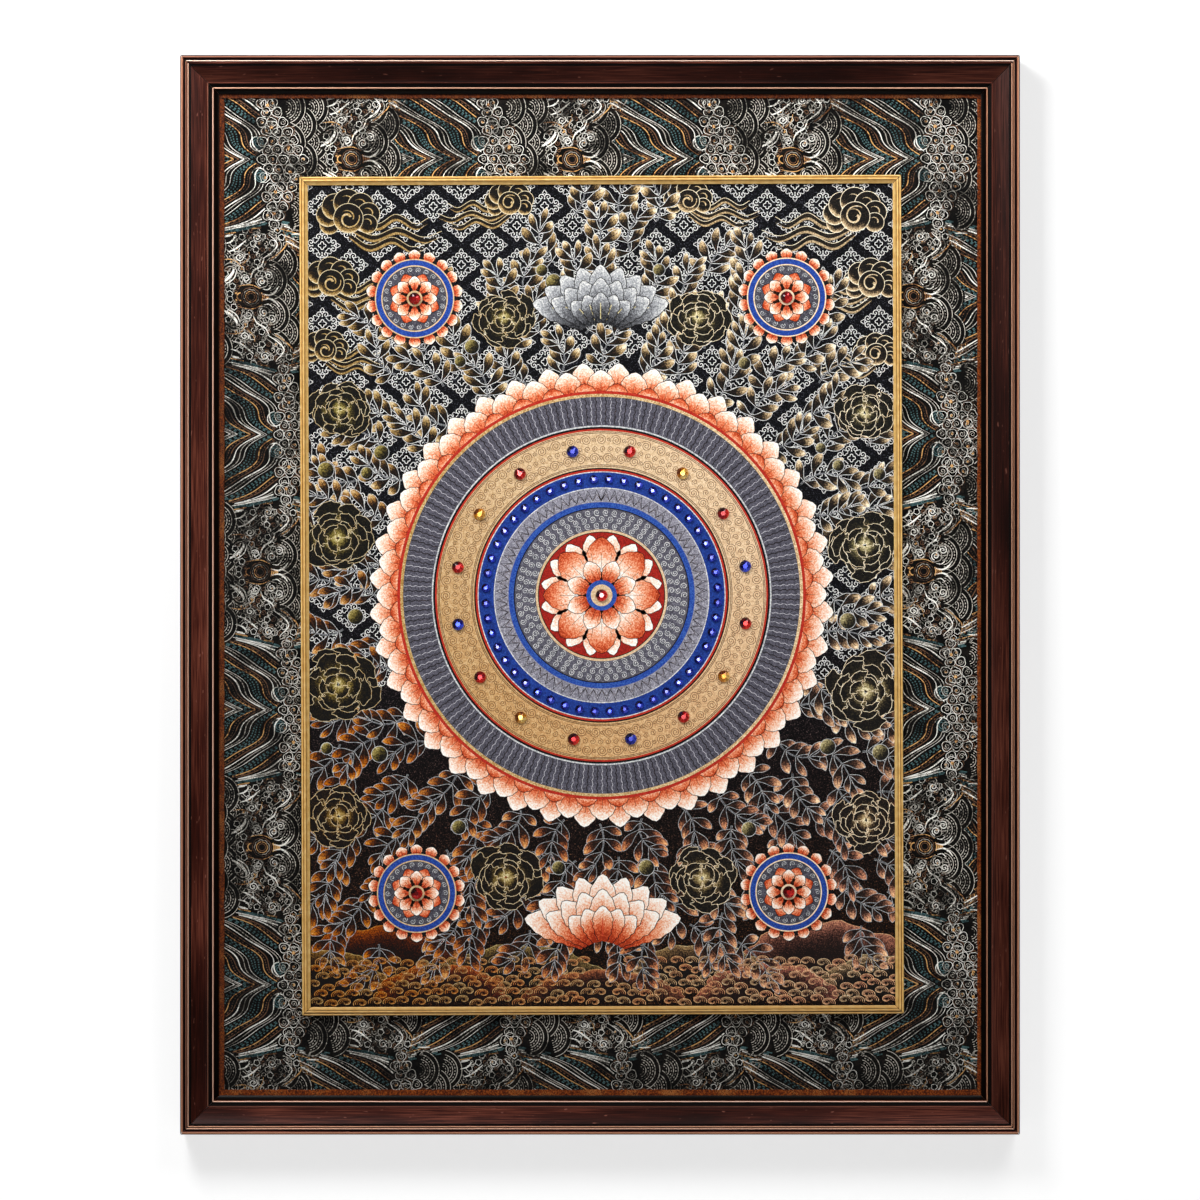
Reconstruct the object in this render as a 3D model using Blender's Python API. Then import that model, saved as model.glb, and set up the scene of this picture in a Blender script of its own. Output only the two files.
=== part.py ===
"""Framed thangka: a picture cloth on a brocade ground, edged with a gilt fillet, in a mitred wooden frame.

The frame hangs upright. X runs to the right, Z runs up, and the front faces -Y.
The origin is the middle of the top edge of the frame's back, where the wall carries it.
Lengths are in metres. A bar's section is drawn as (inward, forward): the distance from the bar's
outer edge towards the picture, and the distance forward of the frame's back or of the cloth below.
"""

import math

import bmesh
import bpy
from mathutils import Vector

MM = 0.001
GAP = 0.3 * MM  # left between pieces that touch

# Frame: outside size, and the section's main widths and heights
FRAME_WIDTH = 571.2 * MM
FRAME_HEIGHT = 734.4 * MM
RAIL_WIDTH = 25.5 * MM
REBATE_START = 20.0 * MM  # from the outer edge to the rebate's wall
REBATE_FLOOR = 13.3 * MM  # height of the lip's underside above the wall
MITRE_SETBACK = GAP / math.sqrt(2)  # each rail's share of the joint's gap

# The layers in the rebate, each as (back height, front height)
SHEET = 1.2 * MM
BOARD_BACK, BOARD_FRONT = 7.0 * MM, 10.0 * MM
BROCADE_BACK = BOARD_FRONT + GAP
BROCADE_FRONT = BROCADE_BACK + SHEET
UPPER_BACK = BROCADE_FRONT + GAP  # the bands, the picture and the fillet lie on the brocade
UPPER_FRONT = UPPER_BACK + SHEET
REBATE_PLAY = 0.5 * MM  # between the rebate's wall and what lies in it

# Rust-coloured bands along the brocade's edges: how far each shows past the lip
BAND_SHOWS = {"top": 2.8 * MM, "right": 2.6 * MM, "bottom": 3.9 * MM, "left": 3.7 * MM}

# Fillet round the picture. It is set a little askew in the frame.
FILLET_OUTER_WIDTH = 410.5 * MM
FILLET_OUTER_HEIGHT = 572.2 * MM
FILLET_WIDTH = 5.6 * MM
FILLET_SEAT = 3.0 * MM  # the part of the width that stands on the brocade
PICTURE_TURN = math.radians(-0.2)
PICTURE_SHIFT = Vector((1.1 * MM, 0.0, -0.3 * MM))

# Faceted stones glued on the picture, as (outer radius, height)
STONE_RADIUS = 4.1 * MM
STONE_HEIGHT = 3.2 * MM
STONE_GIRDLE = 0.9 * MM
TABLE_SHARE = 0.52  # the flat top's radius as a share of the stone's
STONE_RING_RADIUS = 100.0 * MM
STONE_RING = ["ruby", "amber", "ruby", "sapphire"] * 4
ROUNDEL_PLACES = [(-127.0 * MM, 203.0 * MM), (127.0 * MM, 203.0 * MM),
                  (-127.0 * MM, -203.0 * MM), (127.0 * MM, -203.0 * MM)]

BEAD_STEPS = 6

# Each finish as (colour, roughness, metallic)
FINISHES = {
    "mahogany": ((0.065, 0.018, 0.012), 0.32, 0.0),
    "gilt": ((0.62, 0.40, 0.15), 0.35, 0.8),
    "brocade": ((0.10, 0.10, 0.10), 0.75, 0.0),
    "rust_brocade": ((0.22, 0.06, 0.015), 0.75, 0.0),
    "picture_cloth": ((0.12, 0.10, 0.09), 0.7, 0.0),
    "hardboard": ((0.28, 0.17, 0.09), 0.8, 0.0),
    "ruby": ((0.55, 0.01, 0.01), 0.08, 0.0),
    "amber": ((0.80, 0.42, 0.05), 0.08, 0.0),
    "sapphire": ((0.02, 0.03, 0.48), 0.08, 0.0),
}


def finish(name):
    """The material of that name, made the first time it is asked for."""
    found = bpy.data.materials.get(name)
    if found:
        return found
    colour, roughness, metallic = FINISHES[name]
    material = bpy.data.materials.new(name)
    material.use_nodes = True
    shader = material.node_tree.nodes["Principled BSDF"]
    shader.inputs["Base Color"].default_value = (*colour, 1.0)
    shader.inputs["Roughness"].default_value = roughness
    shader.inputs["Metallic"].default_value = metallic
    return material


def add_object(name, mesh_maker, material, location=(0.0, 0.0, 0.0), turn=0.0, parent=None):
    """One object whose mesh is filled by mesh_maker, turned about Y and then moved to location."""
    mesh = bpy.data.meshes.new(name)
    shape = bmesh.new()
    mesh_maker(shape)
    bmesh.ops.recalc_face_normals(shape, faces=shape.faces)
    shape.to_mesh(mesh)
    shape.free()
    mesh.materials.append(finish(material))
    made = bpy.data.objects.new(name, mesh)
    bpy.context.scene.collection.objects.link(made)
    made.location = location
    made.rotation_euler = (0.0, turn, 0.0)
    made.parent = parent
    return made


def bead(start, end, base, height):
    """Points of a half-ellipse standing on base, from start to end across the section."""
    middle, half = (start + end) / 2, (end - start) / 2
    steps = [math.pi * (1 - i / BEAD_STEPS) for i in range(BEAD_STEPS + 1)]
    return [(middle + half * math.cos(a), base + height * math.sin(a)) for a in steps]


def hollow(start, end, sag, steps):
    """Points between two corners, on a shallow curve that lies sag below the straight line at its middle."""
    points = []
    for i in range(1, steps):
        t = i / steps
        dip = 4 * sag * t * (1 - t)
        points.append((start[0] + t * (end[0] - start[0]), start[1] + t * (end[1] - start[1]) - dip))
    return [start, *points, end]


def in_metres(points):
    return [(inward * MM, forward * MM) for inward, forward in points]


def rail_section():
    """The frame's moulding, from its back outer corner, over the front, to the rebate. Drawn in millimetres."""
    front = [
        (0.0, 0.0),
        *bead(0.0, 2.4, 23.8, 1.2),  # outer bead
        (2.6, 22.9),
        (3.3, 22.9),
        *bead(3.4, 4.7, 24.1, 1.0),  # pair of small beads
        *bead(4.8, 6.1, 24.1, 1.0),
        (6.2, 23.1),
        (6.9, 23.1),
        *hollow((7.0, 24.3), (18.0, 20.1), 0.35, 4),  # broad face, falling towards the picture
        *bead(18.05, 18.9, 20.1, 0.45),
        (19.0, 18.1),
        (21.0, 17.6),
        *bead(21.1, 22.5, 17.7, 0.9),  # bead at the sight edge
        *hollow((22.7, 17.2), (25.5, 14.4), 0.4, 3),  # blackened lip
    ]
    return in_metres(front) + [
        (RAIL_WIDTH, REBATE_FLOOR),
        (REBATE_START, REBATE_FLOOR),
        (REBATE_START, 0.0),
    ]


def fillet_section():
    """The gilt fillet, standing on the brocade and lapping over the picture's edge. Drawn in millimetres."""
    lap = (SHEET + GAP) / MM
    width, seat = FILLET_WIDTH / MM, FILLET_SEAT / MM
    front = [
        (0.0, 0.0),
        *bead(0.0, 1.3, 3.9, 0.7),  # outer bead
        (1.5, 3.5),
        *bead(1.7, 3.3, 4.1, 1.0),  # middle bead
        (3.5, 3.6),
        *hollow((3.7, 4.4), (width, 2.6), 0.15, 3),  # face that falls to the picture
        (width, lap),
        (seat, lap),
        (seat, 0.0),
    ]
    return in_metres(front)


def mitred_bar(section, length):
    """A mesh maker: the section swept along X, its ends cut at 45 degrees. The outer edge lies at z = 0."""

    def make(shape):
        corners = [shape.verts.new((-length / 2, -forward, -inward)) for inward, forward in section]
        end = shape.faces.new(corners)
        grown = bmesh.ops.extrude_face_region(shape, geom=[end])["geom"]
        far = [v for v in grown if isinstance(v, bmesh.types.BMVert)]
        bmesh.ops.translate(shape, vec=(length, 0.0, 0.0), verts=far)
        for corner in shape.verts:
            setback = -corner.co.z + MITRE_SETBACK
            corner.co.x += setback if corner.co.x < 0 else -setback

    return make


def slab(low, high):
    """A mesh maker: a box between two corners."""

    def make(shape):
        bmesh.ops.create_cube(shape, size=1.0)
        for corner in shape.verts:
            corner.co = [lo + (hi - lo) * (c + 0.5) for lo, hi, c in zip(low, high, corner.co)]

    return make


def stone(shape):
    """A flat-backed faceted stone: a 16-sided girdle, eight crown facets and a flat table. It faces -Y."""
    girdle_sides, table_sides = 16, 8

    def ring(radius, forward, sides, turn=0.0):
        angles = [2 * math.pi * i / sides + turn for i in range(sides)]
        return [shape.verts.new((radius * math.cos(a), -forward, radius * math.sin(a))) for a in angles]

    back = ring(STONE_RADIUS * 0.94, 0.0, girdle_sides)
    girdle = ring(STONE_RADIUS, STONE_GIRDLE, girdle_sides)
    table = ring(STONE_RADIUS * TABLE_SHARE, STONE_HEIGHT, table_sides, math.pi / girdle_sides * 2)
    shape.faces.new(back)
    shape.faces.new(table)
    for i in range(girdle_sides):
        j = (i + 1) % girdle_sides
        shape.faces.new((back[i], back[j], girdle[j], girdle[i]))
    for i in range(table_sides):
        before, left, tip, right = table[i - 1], girdle[2 * i], girdle[2 * i + 1], girdle[(2 * i + 2) % girdle_sides]
        shape.faces.new((left, tip, table[i]))
        shape.faces.new((tip, right, table[i]))
        shape.faces.new((before, left, table[i]))


SIDES = ["top", "right", "bottom", "left"]


def four_bars(kind, section, width, height, material, forward, parent):
    """Four mitred bars round a rectangle that is centred on the parent, each turned a quarter further."""
    for quarter, side in enumerate(SIDES):
        upright = quarter % 2
        length, reach = (height, width) if upright else (width, height)
        turn = quarter * math.pi / 2
        place = Vector((math.sin(turn), 0.0, math.cos(turn))) * reach / 2
        place.y = -forward
        add_object(f"{kind}_{side}", mitred_bar(section, length), material, place, turn, parent)


def add_edge_bands(parent):
    """Straight strips of rust-coloured brocade, butted at the corners, half hidden under the frame's lip."""
    half_width = FRAME_WIDTH / 2 - REBATE_START - REBATE_PLAY
    half_height = FRAME_HEIGHT / 2 - REBATE_START - REBATE_PLAY
    back, front = -UPPER_BACK, -UPPER_FRONT
    cover = RAIL_WIDTH - REBATE_START - REBATE_PLAY  # what the lip hides of each band
    wide = {side: cover + shows for side, shows in BAND_SHOWS.items()}
    inner_top = half_height - wide["top"]
    inner_bottom = -half_height + wide["bottom"]
    boxes = {
        "top": ((-half_width, front, inner_top), (half_width, back, half_height)),
        "bottom": ((-half_width, front, -half_height), (half_width, back, inner_bottom)),
        "left": ((-half_width, front, inner_bottom + GAP), (-half_width + wide["left"], back, inner_top - GAP)),
        "right": ((half_width - wide["right"], front, inner_bottom + GAP), (half_width, back, inner_top - GAP)),
    }
    for side in SIDES:
        add_object(f"edge_band_{side}", slab(*boxes[side]), "rust_brocade", parent=parent)


def add_sheet(name, width, height, back, front, material, parent):
    """A flat sheet centred on the parent."""
    low = (-width / 2, -front, -height / 2)
    high = (width / 2, -back, height / 2)
    add_object(name, slab(low, high), material, parent=parent)


def add_stones(parent):
    """Sixteen stones in a ring round the picture's middle, one at the middle and one in each roundel."""
    depth = -(UPPER_FRONT + GAP)
    count = len(STONE_RING)
    for i, colour in enumerate(STONE_RING):
        angle = 2 * math.pi * (i + 0.5) / count
        place = (STONE_RING_RADIUS * math.sin(angle), depth, STONE_RING_RADIUS * math.cos(angle))
        add_object(f"stone_ring_{i + 1:02d}", stone, colour, place, parent=parent)
    add_object("stone_centre", stone, "ruby", (0.0, depth, 0.0), parent=parent)
    for i, (across, up) in enumerate(ROUNDEL_PLACES):
        add_object(f"stone_roundel_{i + 1}", stone, "ruby", (across, depth, up), parent=parent)


def add_empty(name, location, turn=0.0, parent=None):
    empty = bpy.data.objects.new(name, None)
    bpy.context.scene.collection.objects.link(empty)
    empty.location = location
    empty.rotation_euler = (0.0, turn, 0.0)
    empty.parent = parent
    return empty


def build():
    for old in list(bpy.data.objects):
        bpy.data.objects.remove(old)
    middle = add_empty("frame_middle", (0.0, 0.0, -FRAME_HEIGHT / 2))
    askew = add_empty("picture_middle", PICTURE_SHIFT, PICTURE_TURN, middle)

    four_bars("rail", rail_section(), FRAME_WIDTH, FRAME_HEIGHT, "mahogany", 0.0, middle)
    rebate_width = FRAME_WIDTH - 2 * (REBATE_START + REBATE_PLAY)
    rebate_height = FRAME_HEIGHT - 2 * (REBATE_START + REBATE_PLAY)
    add_sheet("backing_board", rebate_width, rebate_height, BOARD_BACK, BOARD_FRONT, "hardboard", middle)
    add_sheet("brocade_ground", rebate_width, rebate_height, BROCADE_BACK, BROCADE_FRONT, "brocade", middle)
    add_edge_bands(middle)

    hidden_edge = 2 * (FILLET_SEAT + GAP)
    picture_width = FILLET_OUTER_WIDTH - hidden_edge
    picture_height = FILLET_OUTER_HEIGHT - hidden_edge
    add_sheet("picture_cloth", picture_width, picture_height, UPPER_BACK, UPPER_FRONT, "picture_cloth", askew)
    four_bars("fillet", fillet_section(), FILLET_OUTER_WIDTH, FILLET_OUTER_HEIGHT, "gilt", UPPER_BACK, askew)
    add_stones(askew)


build()
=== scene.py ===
"""The look of a framed thangka: lacquered moulding, brocade, gilt fillet, painted cloth and glued stones.

X runs to the right, Z up, and the front faces -Y. The origin is the middle of the top edge of the frame's
back. Lengths are in metres, and a value in millimetres is written as a number times MM.
"""

import math

import bpy
import numpy as np
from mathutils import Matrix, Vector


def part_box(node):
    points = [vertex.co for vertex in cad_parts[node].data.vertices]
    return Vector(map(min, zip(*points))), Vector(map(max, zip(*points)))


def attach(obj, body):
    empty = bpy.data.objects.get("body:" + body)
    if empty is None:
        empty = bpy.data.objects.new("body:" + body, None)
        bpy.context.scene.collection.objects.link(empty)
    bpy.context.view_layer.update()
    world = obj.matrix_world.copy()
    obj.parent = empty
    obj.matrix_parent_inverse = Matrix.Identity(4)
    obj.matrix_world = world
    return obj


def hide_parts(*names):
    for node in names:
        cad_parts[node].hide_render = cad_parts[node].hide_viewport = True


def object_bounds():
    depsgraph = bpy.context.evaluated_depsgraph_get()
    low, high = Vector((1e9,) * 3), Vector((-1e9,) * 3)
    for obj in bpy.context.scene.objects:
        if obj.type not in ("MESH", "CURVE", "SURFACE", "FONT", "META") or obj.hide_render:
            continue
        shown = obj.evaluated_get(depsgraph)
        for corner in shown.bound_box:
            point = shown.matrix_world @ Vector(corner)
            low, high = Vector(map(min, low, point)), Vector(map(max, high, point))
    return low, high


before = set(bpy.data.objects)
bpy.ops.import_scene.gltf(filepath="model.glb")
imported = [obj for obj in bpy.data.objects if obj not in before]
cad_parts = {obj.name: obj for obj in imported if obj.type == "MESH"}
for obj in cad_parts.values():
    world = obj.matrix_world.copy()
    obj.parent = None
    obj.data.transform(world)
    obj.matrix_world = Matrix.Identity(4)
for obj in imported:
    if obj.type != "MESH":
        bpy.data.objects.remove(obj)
cad_low, cad_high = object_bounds()
MM = 0.001

# --------------------------------------------------------------------------- camera
# The photograph is taken square on. It is 1200 pixels wide, which is 816 mm at the frame's front.

PHOTO_WIDTH = 816 * MM
PIXEL = PHOTO_WIDTH / 1200
CAMERA_DISTANCE = 3.0
MIDDLE_Z = (cad_low.z + cad_high.z) / 2
AIM_BELOW_MIDDLE = 5.2 * PIXEL  # the frame sits a little high in the photograph


def put(name, data):
    """An object that holds the data, in the scene."""
    made = bpy.data.objects.new(name, data)
    bpy.context.scene.collection.objects.link(made)
    return made


lens = bpy.data.cameras.new("camera")
lens.sensor_width = 36.0
lens.lens = lens.sensor_width * CAMERA_DISTANCE / PHOTO_WIDTH
camera = put("camera", lens)
camera.location = (0.0, cad_low.y - CAMERA_DISTANCE, MIDDLE_Z - AIM_BELOW_MIDDLE)
camera.rotation_euler = (math.pi / 2, 0.0, 0.0)
bpy.context.scene.camera = camera

# --------------------------------------------------------------------------- frame rails
# Four lengths of hardwood moulding, mitred and glued. They are stained dark mahogany and lacquered to a satin
# gloss. The quirks between the beads are blackened, partly as painted shade, each length is darkened by
# painted shade of its own, and the beads are rubbed back to copper with painted highlights on their crests.

FRAME_WIDTH = cad_high.x - cad_low.x
FRAME_HEIGHT = cad_high.z - cad_low.z
MITRE_SETBACK = 0.21 * MM
# the quirks' black is partly black stain and partly painted shade
CLEAR, STAINED_AND_SHADED = (0.0, 0.0), (1.0, 0.0)


def linear(code):
    """The colour of an sRGB hex code as linear red, green, blue and alpha: each part below 0.04045 is divided
    by 12.92, and any other is ((part + 0.055) / 1.055) to the power 2.4."""
    parts = [int(code[i : i + 2], 16) / 255 for i in (1, 3, 5)]
    return (*[p / 12.92 if p < 0.04045 else ((p + 0.055) / 1.055) ** 2.4 for p in parts], 1.0)


def node(tree, kind, inputs=None, stops=None, out=0, feeds=None, **settings):
    """Adds a shader node and gives one of its outputs. Inputs maps a socket to a value or to another node's
    output, stops are a ramp's, and feeds names the Principled shader's socket that the output goes to."""
    made = tree.nodes.new("ShaderNode" + kind)
    for name, value in settings.items():
        setattr(made, name, value)
    for socket, value in (inputs or {}).items():
        if isinstance(value, bpy.types.NodeSocket):
            tree.links.new(value, made.inputs[socket])
        else:
            made.inputs[socket].default_value = value
    if stops:
        ramp = made.color_ramp.elements
        while len(ramp) < len(stops):
            ramp.new(0.5)
        for element, (position, code) in zip(ramp, stops):
            element.position = position
            element.color = linear(code)
    if feeds:
        tree.links.new(made.outputs[out], tree.nodes["Principled BSDF"].inputs[feeds])
    return made.outputs[out]


def surface(name, **sockets):
    """A new material and its node tree. The Principled shader's sockets are set by name, with _ for space."""
    material = bpy.data.materials.new(name)
    material.use_nodes = True
    shader = material.node_tree.nodes["Principled BSDF"]
    for socket, value in sockets.items():
        shader.inputs[socket.replace("_", " ")].default_value = value
    return material, material.node_tree


def add_piece(name, points, faces, material, smooth_angle=None, values=None, uv=None):
    """A piece from points (n x 3) and lists of their numbers. Values maps an attribute to one number a point,
    and uv maps a UV map to one pair a point."""
    mesh = bpy.data.meshes.new(name)
    mesh.from_pydata(np.asarray(points).tolist(), [], faces)
    corners = np.empty(len(mesh.loops), dtype=int)
    mesh.loops.foreach_get("vertex_index", corners)
    for attribute, numbers in (values or {}).items():
        data = mesh.attributes.new(attribute, "FLOAT", "POINT").data
        data.foreach_set("value", np.ravel(numbers).astype(float))
    for layer, pairs in (uv or {}).items():
        mesh.uv_layers.new(name=layer).data.foreach_set("uv", pairs[corners].ravel())
    if smooth_angle:
        mesh.shade_smooth()
        mesh.set_sharp_from_angle(angle=math.radians(smooth_angle))
    mesh.materials.append(material)
    mesh.update()
    made = put(name, mesh)
    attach(made, "root")
    return made


def quads(rows, columns, wrap=False):
    """The faces of a grid of points, numbered row by row. With wrap the last column joins the first."""
    numbers = np.arange(rows * columns).reshape(rows, columns)
    if wrap:
        numbers = np.hstack([numbers, numbers[:, :1]])
    sides = (numbers[:-1, :-1], numbers[:-1, 1:], numbers[1:, 1:], numbers[1:, :-1])
    return np.stack([side.ravel() for side in sides], axis=1)


def bead(start, end, base, height, rub_and_highlight, steps=12):
    """A half-ellipse across the section. Its rows are inward, forward, stain with painted shade, and rub with
    painted highlight, and the last grows to the crest as the cube of the sine."""
    turn = np.linspace(math.pi, 0, steps + 1)
    middle, half = (start + end) / 2, (end - start) / 2
    inward, forward = middle + half * np.cos(turn), base + height * np.sin(turn)
    return np.stack([inward, forward, 0 * turn, rub_and_highlight * np.sin(turn) ** 3], axis=1)


def hollow(start, end, sag, stain_and_shade, steps=8):
    """A parabola between two corners, that lies sag below their straight line at its middle."""
    t = np.linspace(0, 1, steps + 1)
    inward = start[0] + t * (end[0] - start[0])
    forward = start[1] + t * (end[1] - start[1]) - 4 * sag * t * (1 - t)
    return np.stack([inward, forward, 0 * t + stain_and_shade, 0 * t], axis=1)


def section_of(parts):
    """A section from its parts, one after another. Its rows are inward, forward, stain with painted shade,
    and rub with painted highlight, with the lengths in metres where the parts have millimetres."""
    return np.vstack([np.array(rows, float) for rows in parts]) * [MM, MM, 1, 1]


def mitred_bar(section, length, reach, quarter, steps):
    """The section carried along a bar whose ends are cut at 45 degrees. The bar's outer edge lies reach / 2
    from the middle, and each quarter turns it 90 degrees clockwise as seen from the front. Gives points,
    faces and how far along the bar each point lies."""
    inward, forward = section[:, 0], section[:, 1]
    along = np.linspace(-1, 1, steps + 1)[:, None] * (length / 2 - inward - MITRE_SETBACK)[None, :]
    x, z = along, np.broadcast_to(reach / 2 - inward, along.shape)
    turn = quarter * math.pi / 2
    cos, sin = round(math.cos(turn)), round(math.sin(turn))
    points = np.stack([x * cos + z * sin, np.broadcast_to(-forward, along.shape), z * cos - x * sin], axis=2)
    count = len(section)
    ends = [list(range(count)), list(range(steps * count, (steps + 1) * count))[::-1]]
    return points.reshape(-1, 3), [*quads(steps + 1, count, wrap=True).tolist(), *ends], along.ravel()


def across(section):
    """The distance round the section from its first point to each of the others."""
    return np.concatenate([[0], np.cumsum(np.hypot(*np.diff(section[:, :2], axis=0).T))])


def mahogany_lacquer():
    """Hardwood stained dark mahogany under satin lacquer. Fine streaks run with the grain, pale specks are
    filled pores, the quirks are black, partly as painted shade, each length is darkened by painted shade, and
    the beads are rubbed to copper and, at their crests, painted cream as a highlight."""
    material, tree = surface("satin_mahogany_lacquer", Roughness=0.36, Specular_IOR_Level=0.08)
    grain = node(tree, "UVMap", uv_map="grain")
    # streaks 0.8 mm wide and 30 mm long, broad clouding of the stain 30 mm wide and 120 mm long, and pores
    # 2 mm wide and 6 mm long at most, of which only the middles show
    noises = []
    for scale, detail in (((33, 1250, 1), 4.0), ((8, 33, 1), 2.0), ((160, 520, 1), 1.0)):
        stretched = node(tree, "Mapping", {"Vector": grain, "Scale": scale})
        noises.append(node(tree, "TexNoise", {"Vector": stretched, "Scale": 1.0, "Detail": detail}))
    streaks, clouds, pores = noises
    tone = node(tree, "Math", {0: streaks, 1: clouds}, operation="MULTIPLY")
    stops = [(0.14, "#1c0704"), (0.24, "#36140d"), (0.33, "#54281d"), (0.42, "#6b382a")]
    wood = node(tree, "ValToRGB", {"Fac": tone}, stops)
    pore = node(tree, "MapRange", {"Value": pores, "From Min": 0.7, "From Max": 0.78})
    pored = node(tree, "MixRGB", {"Fac": pore, "Color1": wood, "Color2": linear("#7a4a3e")})
    rub_and_highlight = node(tree, "Attribute", out="Fac", attribute_name="rub_and_highlight")
    # copper where the beads are rubbed, and a painted cream highlight at their crests
    stops = [(0.45, "#6e3a2e"), (0.62, "#8f6350"), (0.8, "#cc9570"), (1.0, "#f4dace")]
    copper_and_highlight = node(tree, "ValToRGB", {"Fac": rub_and_highlight}, stops)
    span = {"From Min": 0.3, "From Max": 0.7, "To Min": -0.1, "To Max": 0.1}
    worn = node(tree, "Math", {0: rub_and_highlight, 1: node(tree, "MapRange", {"Value": clouds, **span})}, operation="ADD")
    rubbed_and_highlit = node(tree, "MapRange", {"Value": worn, "From Min": 0.25, "From Max": 0.6})
    bright = node(tree, "MixRGB", {"Fac": rubbed_and_highlit, "Color1": pored, "Color2": copper_and_highlight})
    # black for the quirks, partly stain and partly painted shade, and painted shade over each length
    stain_and_shade = node(tree, "Attribute", out="Fac", attribute_name="stain_and_shade")
    black = {"Fac": stain_and_shade, "Color1": bright, "Color2": linear("#050201")}
    node(tree, "MixRGB", black, feeds="Base Color")
    node(tree, "Math", {0: rubbed_and_highlit, 1: 0.3}, operation="MULTIPLY", feeds="Metallic")
    node(tree, "Bump", {"Height": streaks, "Strength": 0.12, "Distance": 0.1 * MM}, feeds="Normal")
    return material


SIDES = ["top", "right", "bottom", "left"]
RAIL_STEPS = 40
RAIL_PAINTED_SHADE = {"top": 0.62, "right": 0.5, "bottom": 0.05, "left": 0.2}  # painted shade: each length is darkened as far as less light falls on it
BEAD_ENDS = (3.0 * MM, 4.75 * MM, 12.0 * MM, 20.0 * MM)  # how far inward each bead's stretch reaches
RAIL_RUB_AND_HIGHLIGHT = {
    # how far the outer bead, the second, the third, the arris and the inner bead are rubbed back to copper
    # and painted with a highlight, set for each side by how the light falls on it
    "top": (0.62, 1.02, 0.3, 0.4, 0.9), "right": (0.78, 0.74, 0.88, 0.5, 0.82),
    "bottom": (0.74, 0.95, 0.88, 0.6, 1.0), "left": (0.74, 0.66, 0.92, 0.66, 0.95),
}
# the moulding's section, from its back outer corner over the front to the rebate, as in the solid
moulding = section_of([
    [[0.0, 0.0, *CLEAR], [0.0, 8.0, *CLEAR], [0.0, 16.0, *CLEAR]],
    bead(0.0, 2.4, 23.8, 1.2, rub_and_highlight=1.0),
    [[2.6, 22.9, *STAINED_AND_SHADED], [3.3, 22.9, *STAINED_AND_SHADED]],
    bead(3.4, 4.7, 24.1, 1.0, rub_and_highlight=1.0),
    bead(4.8, 6.1, 24.1, 1.0, rub_and_highlight=1.0),
    [[6.2, 23.1, *STAINED_AND_SHADED], [6.9, 23.1, *STAINED_AND_SHADED], [7.0, 24.3, *STAINED_AND_SHADED], [7.4, 24.12, *STAINED_AND_SHADED]],
    hollow((7.5, 24.08), (18.0, 20.1), 0.35, stain_and_shade=0.0),
    bead(18.05, 18.9, 20.1, 0.45, rub_and_highlight=1.0, steps=8),
    [[19.0, 18.1, *STAINED_AND_SHADED], [21.0, 17.6, *STAINED_AND_SHADED]],
    bead(21.1, 22.5, 17.7, 0.9, rub_and_highlight=1.0),
    hollow((22.7, 17.2), (25.5, 14.4), 0.4, stain_and_shade=1.0, steps=5),
    [[25.5, 13.3, *STAINED_AND_SHADED], [20.0, 13.3, *CLEAR], [20.0, 0.0, *CLEAR]],
])
lacquer = mahogany_lacquer()
for quarter, side in enumerate(SIDES):
    length, reach = (FRAME_HEIGHT, FRAME_WIDTH) if quarter % 2 else (FRAME_WIDTH, FRAME_HEIGHT)
    points, faces, along = mitred_bar(moulding, length, reach, quarter, RAIL_STEPS)
    points[:, 2] += MIDDLE_Z
    grain = np.stack([along + quarter, np.tile(across(moulding), RAIL_STEPS + 1)], axis=1)
    # the quirks' black, and each length's painted shade, which spares the beads' rubbed and painted
    # highlights
    darkened = np.maximum(moulding[:, 2], RAIL_PAINTED_SHADE[side] * (1 - moulding[:, 3]))
    # copper wear and painted highlight on the beads, set side by side to how the light falls
    rubbed_and_highlit = moulding[:, 3] * np.array(RAIL_RUB_AND_HIGHLIGHT[side])[np.digitize(moulding[:, 0], BEAD_ENDS)]
    stain_and_shade, rub_and_highlight = [np.tile(row, RAIL_STEPS + 1) for row in (darkened, rubbed_and_highlit)]
    values = {"stain_and_shade": stain_and_shade, "rub_and_highlight": rub_and_highlight}
    rail = add_piece(f"moulding_{side}", points, faces, lacquer, 32, values, {"grain": grain})
    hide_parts(f"rail_{side}")

# --------------------------------------------------------------------------- backing board
# Pressed hardboard in the rebate, brown and fibrous. It is a flat board, so the solid only gets its material.


def hardboard():
    """Pressed wood fibre: mottled brown, quite matt, with short fibres about 1 mm wide."""
    material, tree = surface("pressed_hardboard", Roughness=0.82)
    place = node(tree, "TexCoord", out="Object")
    fibres = node(tree, "TexNoise", {"Vector": place, "Scale": 900.0, "Detail": 4.0})
    patches = node(tree, "TexNoise", {"Vector": place, "Scale": 30.0, "Detail": 3.0})
    tone = node(tree, "Math", {0: fibres, 1: patches}, operation="ADD")
    stops = [(0.7, "#6c4a2f"), (1.0, "#7b5537"), (1.25, "#8a6443")]
    node(tree, "ValToRGB", {"Fac": tone}, stops, feeds="Base Color")
    node(tree, "Bump", {"Height": fibres, "Strength": 0.4, "Distance": 0.2 * MM}, feeds="Normal")
    return material


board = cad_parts["backing_board"]
board.data.materials.clear()
board.data.materials.append(hardboard())

# --------------------------------------------------------------------------- brocade ground
# One sheet of black figured brocade, laid flat on the board. The threads that draw its figures lie on a black
# satin ground, whose own threads are about 0.4 mm apart.

brocade_low, brocade_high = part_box("brocade_ground")


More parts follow.
